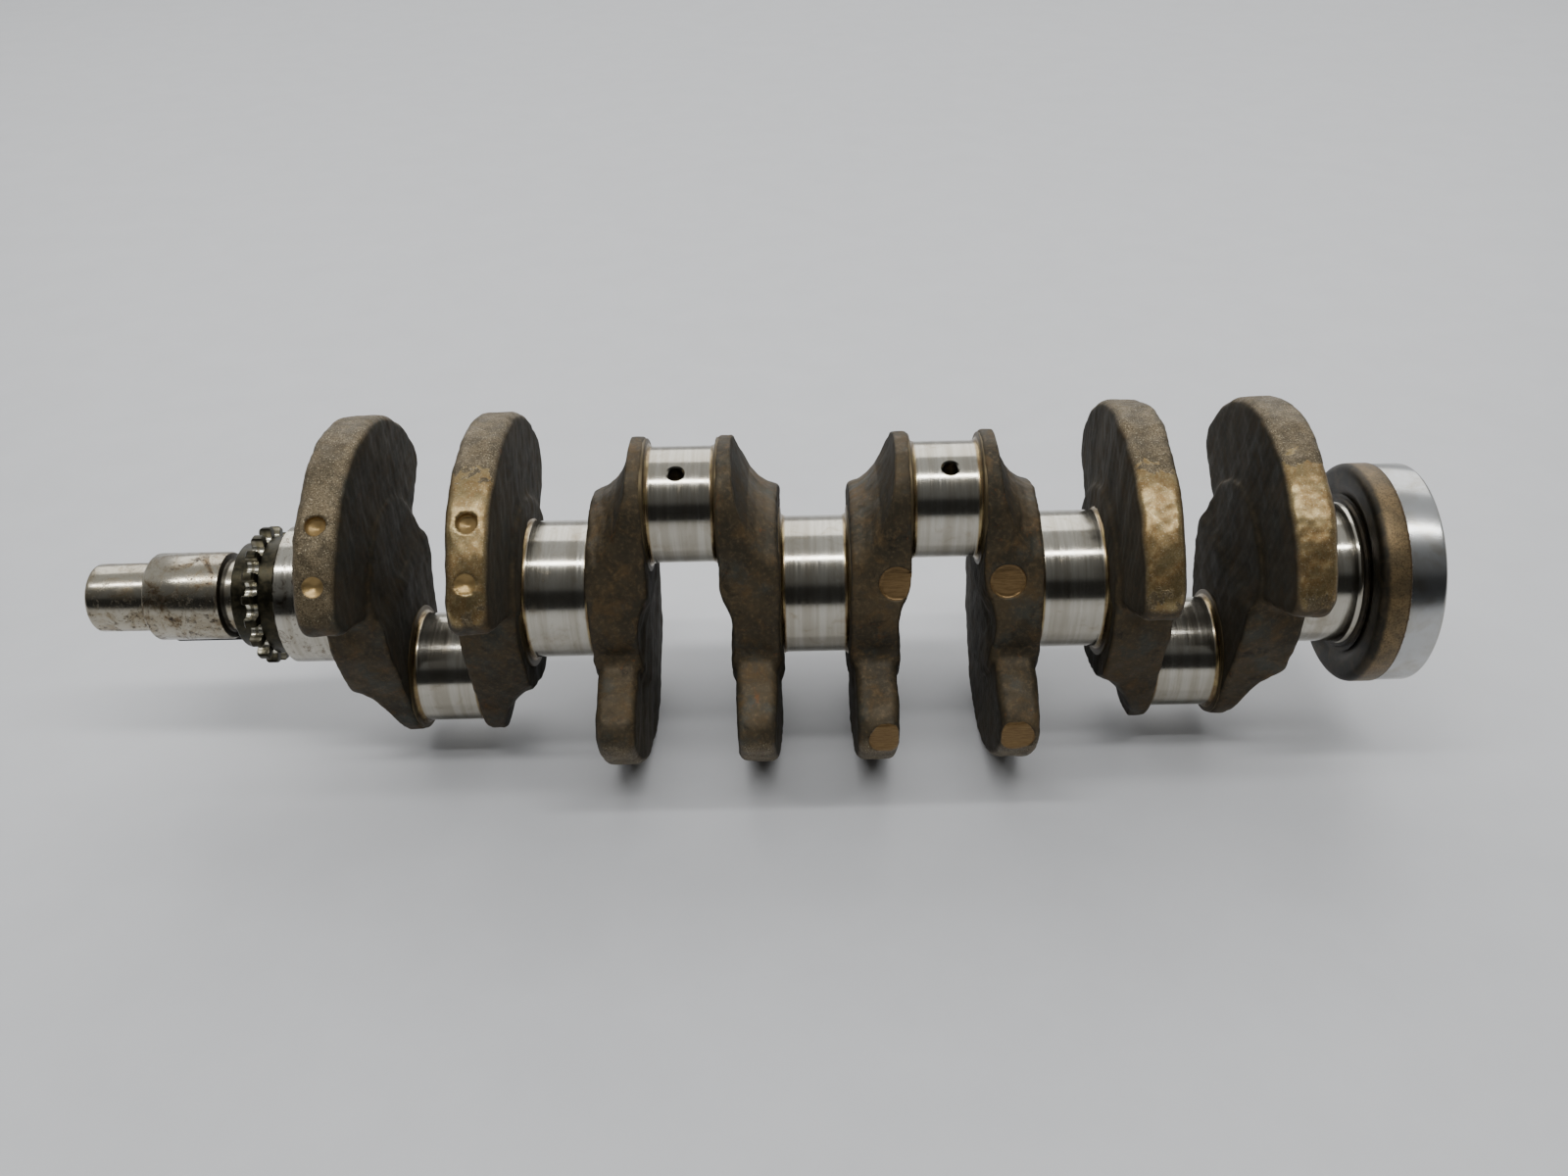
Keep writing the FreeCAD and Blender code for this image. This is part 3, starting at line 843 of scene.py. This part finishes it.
def pilot_cage():
    """Pressed band with a pocket around each ball."""
    x_mid = sum(X_BEARING) / 2
    outline = [(x_mid - 3.6, 10.3), (x_mid - 3.4, 10.1), (x_mid + 1.0, 10.1), (x_mid + 1.2, 10.3),
               (x_mid + 1.2, 11.7), (x_mid + 1.0, 11.9), (x_mid - 3.4, 11.9), (x_mid - 3.6, 11.7)]
    band = turned("pilot_cage_band", outline, 140)
    return cut(band, around(lambda: ball(POCKET_ROOM), BALLS, BALL_CIRCLE_R, x_mid))


def pilot_seal():
    """Seal that covers the balls from behind."""
    x1 = X_BEARING[1] - 0.6
    outline = [(x1 - 0.9, 9.6), (x1 - 0.9, 12.7), (x1 - 0.2, 12.7), (x1 - 0.05, 12.3), (x1 - 0.05, 11.7),
               (x1 - 0.35, 11.45), (x1 - 0.35, 10.6), (x1 - 0.05, 10.35), (x1 - 0.05, 9.9), (x1 - 0.25, 9.6)]
    return turned("pilot_seal_lip", outline, 128)


# ---------------- finishes

class Finish:
    """One procedural material, read from the object's own coordinates in mm."""

    def __init__(self, name):
        self.material = bpy.data.materials.new(name)
        self.material.use_nodes = True
        self.tree = self.material.node_tree
        self.shader = self.tree.nodes["Principled BSDF"]
        place = wired(self.tree, "ShaderNodeTexCoord")
        self.place = self.scaled(place["Object"], (1 / MM, 1 / MM, 1 / MM))
        self.x, self.y, self.z = wired(self.tree, "ShaderNodeSeparateXYZ", {0: self.place})
        self.facing_x = wired(self.tree, "ShaderNodeSeparateXYZ", {0: place["Normal"]})[0]

    def scaled(self, vector, scale, offset=(0, 0, 0)):
        """Vector times a scale for each axis, then moved."""
        return wired(self.tree, "ShaderNodeMapping", {
            "Vector": vector, "Scale": scale, "Location": offset})[0]

    def math(self, operation, a, b=None):
        """Result of a sum on one or two values."""
        return wired(self.tree, "ShaderNodeMath", {0: a, 1: b}, operation=operation)[0]

    def times(self, a, b):
        """One value times another, which keeps a mask only where both hold."""
        return self.math("MULTIPLY", a, b)

    def plus(self, a, b):
        """Sum of two values."""
        return self.math("ADD", a, b)

    def most(self, first, *others):
        """Highest of several masks."""
        for other in others:
            first = self.math("MAXIMUM", first, other)
        return first

    def reach(self, a, b):
        """Length of a vector from its two sides."""
        return self.math("SQRT", self.plus(self.times(a, a), self.times(b, b)))

    def radius(self):
        """Distance from the shaft's axis."""
        return self.reach(self.y, self.z)

    def noise(self, size, detail=3.0, rough=0.55, stretch=(1, 1, 1), offset=(0, 0, 0), twist=0.0):
        """Noise from 0 to 1 whose blotches are about size mm across."""
        vector = self.scaled(self.place, tuple(s / size for s in stretch), offset)
        return wired(self.tree, "ShaderNodeTexNoise", {
            "Vector": vector, "Scale": 1.0, "Detail": detail, "Roughness": rough, "Distortion": twist})[0]

    def cells(self, size):
        """Distance to the nearest of many points that are about size mm apart."""
        vector = self.scaled(self.place, (1 / size,) * 3)
        return wired(self.tree, "ShaderNodeTexVoronoi", {"Vector": vector, "Scale": 1.0})["Distance"]

    def step(self, value, low, high, out_low=0.0, out_high=1.0):
        """Value mapped smoothly from low..high to out_low..out_high, held at the ends."""
        return wired(self.tree, "ShaderNodeMapRange", {0: value, 1: low, 2: high, 3: out_low, 4: out_high},
                     interpolation_type="SMOOTHSTEP")[0]

    def mix(self, share, a, b):
        """Colour a where the share is 0, and b where it is 1."""
        return wired(self.tree, "ShaderNodeMix", {0: share, 6: a, 7: b}, data_type="RGBA")[2]

    def between(self, low, high):
        """1 from one place along the shaft to another, and 0 elsewhere."""
        return self.times(self.step(self.x, low, low + 0.5), self.step(self.x, high - 0.5, high, 1, 0))

    def spot(self, middle, way, radius, deep):
        """1 where a round tool has cut, at most so deep along its axis from its middle, and 0 elsewhere."""
        x, y, z = (self.math("SUBTRACT", a, b) for a, b in zip((self.x, self.y, self.z), middle))
        across = self.math("SUBTRACT", self.times(y, way[2]), self.times(z, way[1]))
        along = self.plus(self.times(y, way[1]), self.times(z, way[2]))
        return self.times(self.step(self.reach(x, across), radius - 0.2, radius + 0.2, 1, 0),
                          self.step(along, deep - 0.4, deep))

    def relief(self, height, strength, distance, under=None):
        """Normal of a surface whose height varies by about distance mm."""
        return wired(self.tree, "ShaderNodeBump", {
            "Strength": strength, "Distance": distance * MM, "Height": height, "Normal": under})[0]

    def close(self, colour, roughness, metallic, normal, specular=None):
        """Material with these values in its shader."""
        for name, value in (("Base Color", colour), ("Roughness", roughness), ("Metallic", metallic),
                            ("Normal", normal), ("Specular IOR Level", specular)):
            feed(self.tree, self.shader.inputs[name], value)
        return self.material


def rgb(r, g, b):
    """Linear colour from screen values of 0 to 255."""
    def linear(v):
        """Linear share of one screen value."""
        v /= 255
        return v / 12.92 if v <= 0.04045 else ((v + 0.055) / 1.055) ** 2.4
    return (linear(r), linear(g), linear(b), 1.0)


def forged_steel():
    """Oil-browned forging: mottled olive, rust and tan, with granular rims and ground gold patches; painted
    shade on the faces that look along the shaft, and painted sparkle and highlights on the rims.
    """
    f = Finish("forged_web_steel")
    broad = f.noise(24, 4, 0.6, twist=0.4)
    blotch = f.noise(8, 6, 0.66, offset=(7, 3, 1), twist=0.7)
    fine = f.noise(1.5, 4, 0.65, offset=(2, 9, 4))
    grain = f.noise(0.5, 3, 0.7)
    to_weight = f.times(f.z, f.step(f.math("ABSOLUTE", f.x), 94.0, 96.0, -1, 1))
    on_weight = f.step(to_weight, -6.0, 8.0)
    side_faces_painted_dark = f.step(f.math("ABSOLUTE", f.facing_x), 0.75, 0.96)

    colour = f.mix(f.step(broad, 0.35, 0.65), rgb(54, 49, 38), rgb(76, 66, 49))
    colour = f.mix(f.step(blotch, 0.48, 0.7, 0, 0.6), colour, rgb(98, 78, 51))
    cold = f.noise(15, 5, 0.6, offset=(31, 5, 2))
    colour = f.mix(f.step(cold, 0.52, 0.68, 0, 0.7), colour, rgb(64, 67, 62))
    soot = f.noise(11, 6, 0.7, offset=(9, 14, 6), twist=0.8)
    colour = f.mix(f.step(soot, 0.56, 0.7, 0, 0.7), colour, rgb(32, 29, 23))
    rust = f.step(f.noise(6, 6, 0.72, offset=(3, 21, 8), twist=1.0), 0.6, 0.72, 0, 0.6)
    colour = f.mix(rust, colour, rgb(112, 70, 36))
    colour = f.mix(f.step(fine, 0.45, 0.8, 0, 0.35), colour, rgb(128, 108, 78))
    # painted shade: faces that look along the shaft are darkened towards near-black
    colour = f.mix(f.times(side_faces_painted_dark, 0.7), colour, rgb(27, 25, 18))

    rim = f.times(f.step(f.radius(), 62.2, 64.2), on_weight)
    scale = f.noise(6, 5, 0.65, offset=(1, 4, 17))
    tan = f.mix(f.step(scale, 0.38, 0.62), rgb(92, 83, 66), rgb(122, 109, 86))
    wave = f.noise(9, 4, 0.6, offset=(9, 2, 5), twist=0.5)
    reach = f.plus(f.times(f.y, -1.0), f.step(wave, 0.3, 0.7, -6, 6))
    ground = f.times(f.step(reach, 21.0, 22.5), f.step(reach, 57.0, 60.0, 1, 0.2))
    webs = f.plus(f.step(f.x, 100.0, 101.0), f.between(-127.0, -100.0))
    gold = f.times(f.times(ground, webs), rim)
    patch = f.mix(f.step(blotch, 0.35, 0.62), rgb(150, 132, 92), rgb(128, 102, 64))
    # the paler spots mixed into the gold patches are painted highlights, scattered by noise
    tan = f.mix(f.times(gold, 0.9), tan, f.mix(f.step(fine, 0.4, 0.7, 0, 0.5), patch, rgb(172, 154, 112)))
    speckle = f.times(f.step(grain, 0.42, 0.62, 0, 0.75), f.step(gold, 0, 1, 1, 0.35))
    tan = f.mix(speckle, tan, rgb(58, 51, 38))
    # painted highlight: pale flecks on the rims stand in for sparkle; the same flecks are also less rough and
    # more metallic
    painted_glint = f.step(f.noise(0.55, 2, 0.6, offset=(5, 5, 5)), 0.6, 0.68, 0, 0.55)
    tan = f.mix(painted_glint, tan, rgb(190, 178, 150))
    colour = f.mix(f.times(rim, 0.92), colour, tan)

    flat = f.most(*[
        f.spot((along_shaft(number, x), y, z), throw_dir(angle), FLAT_R, -depth - 0.5)
        for number in FLAT_X for (x, y, z), angle, depth in flats_of(number)])
    hole = f.most(*[
        f.spot((along_shaft(number, CW_MIDDLE), 0, 0), throw_dir(angle), DRILL_R, 60.0)
        for number in DRILLED_WEBS for angle in DRILL_ANGLES])
    tool_marks = f.noise(0.5, 3, 0.7, stretch=(0.1, 1, 1), offset=(8, 1, 2))
    milled = f.mix(f.step(tool_marks, 0.35, 0.65), rgb(112, 89, 58), rgb(134, 109, 73))
    colour = f.mix(f.times(flat, 0.9), colour, milled)
    colour = f.mix(f.times(hole, 0.9), colour, rgb(164, 138, 92))
    machined = f.most(flat, hole)
    bare = f.most(f.most(machined, gold), f.times(rim, painted_glint))
    rough = f.math("SUBTRACT", f.step(blotch, 0.3, 0.7, 0.48, 0.66), f.times(bare, 0.2))
    height = f.plus(f.times(fine, 0.6), f.times(grain, 0.5))
    calm = f.most(f.most(machined, gold), side_faces_painted_dark)
    height = f.times(height, f.step(calm, 0, 1, 1, 0.3))
    pits = f.times(f.step(f.cells(2.0), 0.0, 0.35), f.step(calm, 0, 1, 1, 0.2))
    rough = f.plus(rough, f.times(side_faces_painted_dark, 0.22))
    normal = f.relief(pits, 0.12, 0.25, f.relief(height, 0.5, 0.3))
    metal = f.plus(f.step(rim, 0, 1, f.step(side_faces_painted_dark, 0, 1, 0.35, 0.1), 0.6), f.times(bare, 0.25))
    return f.close(colour, rough, metal, normal, specular=0.22)


def ground_steel():
    """Polished journal: fine running marks around it, faint oil stains, dark golden fillets, and a painted
    shade line in the corner at each ring.
    """
    f = Finish("ground_journal_steel")
    rings = f.noise(0.35, 3, 0.7, stretch=(1, 0.012, 0.012))
    bands = f.noise(3.2, 3, 0.6, stretch=(1, 0.05, 0.05), offset=(4, 0, 0))
    stain = f.noise(7, 6, 0.7, offset=(0, 11, 3), twist=1.0)
    from_middle = f.math("PINGPONG", f.plus(f.x, PITCH * 4), PITCH / 4)
    fillet = f.step(from_middle, 9.9, 10.8)
    groove = f.step(from_middle, 11.6, 11.95)
    colour = f.mix(f.step(bands, 0.35, 0.65), rgb(186, 182, 170), rgb(166, 160, 146))
    colour = f.mix(f.step(stain, 0.5, 0.78, 0, 0.5), colour, rgb(128, 112, 84))
    grime = f.step(f.x, -169.0, -167.0, f.step(f.noise(3.5, 6, 0.75, twist=1.2), 0.52, 0.66, 0, 0.8), 0)
    colour = f.mix(grime, colour, rgb(82, 62, 40))
    gold = f.mix(f.step(stain, 0.35, 0.6), rgb(150, 130, 80), rgb(110, 86, 48))
    colour = f.mix(f.times(fillet, 0.85), colour, gold)
    # painted shade: a dark line in the corner where each fillet meets its ring
    colour = f.mix(f.times(groove, 0.9), colour, rgb(72, 62, 42))
    rough = f.plus(f.step(rings, 0.3, 0.7, 0.1, 0.2), f.step(stain, 0.55, 0.8, 0, 0.12))
    rough = f.plus(rough, f.plus(f.times(fillet, 0.12), f.times(groove, 0.2)))
    return f.close(colour, rough, f.step(groove, 0, 1, 1.0, 0.7), f.relief(rings, 0.12, 0.05))


def snout_steel():
    """Turned snout: steel with brown oil stains and dark specks, and painted shadow in the groove behind the
    seat.
    """
    f = Finish("snout_turned_steel")
    rings = f.noise(0.4, 3, 0.7, stretch=(1, 0.012, 0.012))
    stain = f.noise(10, 6, 0.72, offset=(5, 2, 8), twist=1.2)
    specks = f.noise(1.9, 5, 0.78, offset=(1, 7, 3))
    on_seat = f.times(f.step(f.x, -242.0, -238.0), f.step(f.x, -216.0, -213.0, 1, 0.4))
    colour = f.mix(f.step(stain, 0.4, 0.62, 0, 0.7), rgb(168, 162, 147), rgb(128, 114, 88))
    brown = f.times(f.step(stain, 0.53, 0.68), f.step(on_seat, 0, 1, 0.35, 0.85))
    colour = f.mix(brown, colour, rgb(80, 60, 38))
    dirt = f.times(f.step(specks, 0.53, 0.6), f.step(stain, 0.42, 0.6, 0.15, 1.0))
    colour = f.mix(f.times(dirt, 0.9), colour, rgb(46, 36, 26))
    # painted shadow: the groove behind the seat is darkened to near-black
    groove = f.times(f.step(f.x, -213.4, -213.0), f.step(f.x, -211.6, -210.8, 1, 0))
    colour = f.mix(f.times(groove, 0.85), colour, rgb(30, 27, 22))
    rough = f.plus(f.step(stain, 0.35, 0.75, 0.16, 0.34), f.times(dirt, 0.25))
    rough = f.plus(rough, f.times(groove, 0.2))
    normal = f.relief(specks, 0.1, 0.1, f.relief(rings, 0.15, 0.05))
    return f.close(colour, rough, f.step(dirt, 0, 1, 1.0, 0.4), normal)


def flange_steel():
    """Flange: dark forged face, rough brown band, then the polished seal band."""
    f = Finish("rear_flange_steel")
    edge = f.plus(f.x, f.step(f.noise(1.6, 5, 0.7), 0.3, 0.7, -0.3, 0.3))
    polished = f.step(edge, X_SEAL - 0.2, X_SEAL + 0.1)
    line = f.times(f.step(edge, X_SEAL - 1.1, X_SEAL - 0.7), f.step(edge, X_SEAL - 0.3, X_SEAL, 1, 0))
    face = f.step(f.x, 193.6, 195.4, 1, 0)
    back = f.step(f.x, 213.2, 213.9)
    grain = f.noise(0.6, 4, 0.75)
    blotch = f.noise(7, 5, 0.65, offset=(3, 1, 6), twist=0.6)
    rings = f.noise(0.3, 3, 0.7, stretch=(1, 0.01, 0.01))
    brown = f.mix(f.step(blotch, 0.35, 0.68), rgb(98, 85, 62), rgb(128, 108, 76))
    brown = f.mix(f.step(grain, 0.42, 0.66, 0, 0.7), brown, rgb(62, 50, 34))
    brown = f.mix(f.times(line, 0.6), brown, rgb(60, 42, 24))
    dark = f.mix(f.step(blotch, 0.4, 0.7), rgb(40, 37, 30), rgb(66, 57, 42))
    silver = f.mix(f.step(f.noise(10, 5, 0.65, twist=0.5), 0.4, 0.75), rgb(180, 181, 180), rgb(160, 156, 146))
    colour = f.mix(face, brown, dark)
    colour = f.mix(polished, colour, silver)
    colour = f.mix(f.times(back, 0.4), colour, rgb(150, 140, 122))
    rough = f.mix(polished, (0.45, 0.45, 0.45, 1), (0.22, 0.22, 0.22, 1))
    depth = f.step(polished, 0, 1, 0.35, 0.0)
    normal = f.relief(f.times(grain, depth), 0.6, 0.5, f.relief(rings, 0.15, 0.05))
    return f.close(colour, rough, f.step(polished, 0, 1, 0.75, 1.0), normal)


def blackened_steel():
    """Hardened sprocket: oil-black, worn grey on the teeth, polished where the chain runs and painted with
    near-white highlights there.
    """
    f = Finish("blackened_sprocket_steel")
    grime = f.noise(2.4, 5, 0.65, twist=0.5)
    r = f.radius()
    middle = (TEETH_X[0] + TEETH_X[1]) / 2
    off = f.math("ABSOLUTE", f.math("SUBTRACT", f.x, middle))
    on_teeth = f.times(f.step(r, 20.2, 20.7), f.step(off, 2.0, 2.2, 1, 0))
    worn = f.times(on_teeth, f.step(r, 23.6, 24.8, 1, 0))
    # two bands on each tooth, either side of its middle, that carry the painted highlights
    track = f.times(f.step(off, 0.35, 0.8), f.step(off, 1.6, 2.0, 1, 0.2))
    colour = f.mix(f.step(grime, 0.35, 0.7), rgb(38, 37, 28), rgb(64, 59, 44))
    colour = f.mix(f.times(worn, 0.8), colour, rgb(150, 144, 124))
    # painted highlight: near-white on the two bands of each worn tooth, which are also polished smooth
    chain_polish_and_painted_highlight = f.times(f.times(worn, track), f.step(r, 21.4, 22.6, 1, 0.2))
    colour = f.mix(chain_polish_and_painted_highlight, colour, rgb(212, 208, 192))
    rough = f.step(chain_polish_and_painted_highlight, 0, 1, f.step(grime, 0.3, 0.7, 0.3, 0.46), 0.2)
    return f.close(colour, rough, 0.9, f.relief(grime, 0.2, 0.2))


def hazed_finish(name, haze, edges, shades, rough, metallic, relief):
    """Finish of two shades whose roughness and relief follow the same haze."""
    f = Finish(name)
    haze = f.noise(*haze)
    colour = f.mix(f.step(haze, *edges), *shades)
    return f.close(colour, f.step(haze, 0.3, 0.7, *rough), metallic, f.relief(haze, *relief))


def bearing_steel():
    """Bright ground steel with fine running marks."""
    f = Finish("bearing_ring_steel")
    rings = f.noise(0.3, 2, 0.6, stretch=(1, 0.02, 0.02))
    haze = f.noise(5, 4, 0.6)
    colour = f.mix(f.step(haze, 0.4, 0.7), rgb(214, 214, 212), rgb(190, 184, 172))
    return f.close(colour, f.step(rings, 0.3, 0.7, 0.1, 0.2), 1.0, f.relief(rings, 0.08, 0.04))


# ---------------- putting it together

def fit(obj, finish, nodes, body="crank"):
    """Gives a piece its finish and its place in the model."""
    if finish is not None:
        obj.data.materials.clear()
        obj.data.materials.append(finish)
    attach(obj, body)
    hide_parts(*nodes)
    return obj


web_finish = forged_steel()
journal_finish = ground_steel()
snout_finish = snout_steel()
bearing_finish = bearing_steel()
key_finish = hazed_finish("key_black_oxide", (3, 5, 0.7), (0.55, 0.75, 0, 0.6),
                          (rgb(26, 25, 24), rgb(78, 72, 64)), (0.35, 0.5), 0.8, (0.15, 0.1))
cage_finish = hazed_finish("pressed_cage_steel", (2, 4, 0.6), (0.35, 0.7),
                           (rgb(172, 156, 120), rgb(130, 114, 84)), (0.28, 0.42), 1.0, (0.1, 0.1))
seal_finish = hazed_finish("bearing_seal_rubber", (1.5, 5, 0.7), (0.5, 0.8, 0, 0.5),
                           (rgb(24, 24, 24), rgb(70, 64, 54)), (0.5, 0.7), 0.0, (0.15, 0.1))

for number in range(8):
    fit(web_mesh(number), web_finish, ["web_%d" % (number + 1)])
for n in range(5):
    fit(main_journal(n), journal_finish, ["main_journal_%d" % (n + 1)])
for n in range(4):
    fit(crankpin(n), journal_finish, ["crankpin_%d" % (n + 1)])

nose_thread = thread_turns(X_FRONT + 2.5, X_FRONT + 29, 5.45, snout_finish)
nose = snout_nose()
nose.data.materials.append(snout_finish)
fit(joined(nose, [nose_thread]), None, ["snout_nose"])
fit(pulley_seat(), snout_finish, ["pulley_seat"])
fit(sprocket_seat(), snout_finish, ["sprocket_seat"])
fit(key_shape("snout_key_bar", KEY_W - 0.02, -18.0, 0.35), key_finish, ["snout_key"])
fit(timing_sprocket(blackened_steel()), None, ["timing_sprocket"])
fit(rear_flange(flange_steel()), None, ["rear_flange"])

outer_ring = bearing_ring("pilot_outer_ring_ground", 12.7, BEARING_R)
fit(outer_ring, bearing_finish, ["pilot_outer_ring"])
inner_ring = bearing_ring("pilot_inner_ring_ground", 6.0, 9.3)
fit(inner_ring, bearing_finish, ["pilot_inner_ring"], "pilot_inner")
balls = ring_of("pilot_ball_set", ball(), BALLS, BALL_CIRCLE_R, sum(X_BEARING) / 2, bearing_finish)
fit(balls, None, ["pilot_balls"], "pilot_ball_set")
fit(pilot_cage(), cage_finish, ["pilot_cage"], "pilot_ball_set")
fit(pilot_seal(), seal_finish, ["pilot_seal"])


# ---------------- studio

def studio_floor():
    """Pale floor that the counterweights stand on."""
    z = CAD_BOX[0][2] / MM
    points = [(x * FLOOR_SIZE, y * FLOOR_SIZE, z) for x, y in ((-1, -1), (1, -1), (1, 1), (-1, 1))]
    floor = mesh_object("studio_floor", points, [(0, 1, 2, 3)])
    f = Finish("pale_floor")
    colour = f.mix(f.noise(30, 4, 0.6), rgb(196, 197, 199), rgb(206, 207, 209))
    floor.data.materials.append(f.close(colour, 0.45, 0.0, f.relief(f.noise(4, 4, 0.6), 0.05, 0.2)))


def lamp(name, place, size, size_y, power):
    """Flat lamp, sizes in metres, that shines at the middle of the shaft."""
    light = bpy.data.lights.new(name, "AREA")
    light.shape = "RECTANGLE"
    light.size = size
    light.size_y = size_y
    light.energy = power
    obj = new_object(name, light)
    obj.location = place
    obj.rotation_euler = (-Vector(place)).to_track_quat("-Z", "Y").to_euler()


def studio_camera():
    """Camera above the front of the shaft, level with its middle, rolled slightly as it was held."""
    data = bpy.data.cameras.new("camera")
    data.lens = 30.5
    data.sensor_width = 36.0
    data.shift_x = -22.0 / 1600
    data.clip_start = 0.01
    obj = new_object("camera", data)
    elevation, roll = math.radians(35.0), math.radians(-1.18)
    back = Vector((0, -math.cos(elevation), math.sin(elevation)))
    up = Vector((0, math.sin(elevation), math.cos(elevation)))
    right = Vector((1, 0, 0))
    side = right * math.cos(roll) + up * math.sin(roll)
    top = up * math.cos(roll) - right * math.sin(roll)
    turn = Matrix((side, top, back)).transposed().to_4x4()
    turn.translation = right * AIM_X * MM - up * AIM_DROP * MM + back * CAMERA_DISTANCE * MM
    obj.matrix_world = turn
    bpy.context.scene.camera = obj


def studio_world():
    """Soft room: pale overhead and behind the shaft, dim in front of it, with an even pale backdrop."""
    world = bpy.data.worlds.new("studio")
    bpy.context.scene.world = world
    world.use_nodes = True
    tree = world.node_tree
    x, y, z = wired(tree, "ShaderNodeSeparateXYZ", {0: wired(tree, "ShaderNodeTexCoord")["Generated"]})
    front = wired(tree, "ShaderNodeMath", {0: y, 1: -1.0}, operation="MULTIPLY")[0]
    rise = wired(tree, "ShaderNodeMath", {0: z, 1: front}, operation="ARCTAN2")[0]
    share = wired(tree, "ShaderNodeMath", {0: rise, 1: math.pi}, operation="DIVIDE")[0]
    ramp = tree.nodes.new("ShaderNodeValToRGB")
    feed(tree, ramp.inputs[0], share)
    stops = ramp.color_ramp.elements
    stops.remove(stops[1])
    for k, (height, tone) in enumerate(ROOM_TONES):
        stop = stops[0] if k == 0 else stops.new(height)
        stop.position = height
        stop.color = (tone * 0.98, tone, tone * 1.02, 1)
    room = tree.nodes["Background"]
    feed(tree, room.inputs[0], ramp.outputs[0])
    backdrop = wired(tree, "ShaderNodeBackground", {0: (0.5, 0.51, 0.52, 1)})[0]
    seen = wired(tree, "ShaderNodeLightPath")["Is Camera Ray"]
    choice = wired(tree, "ShaderNodeMixShader", {0: seen, 1: room.outputs[0], 2: backdrop})[0]
    feed(tree, tree.nodes["World Output"].inputs[0], choice)


studio_floor()
studio_camera()
studio_world()
lamp("overhead_strip", (0, -0.35, 1.5), 2.4, 0.12, 22)
lamp("back_wall_glow", (0, 1.6, 1.2), 3.0, 1.6, 30)
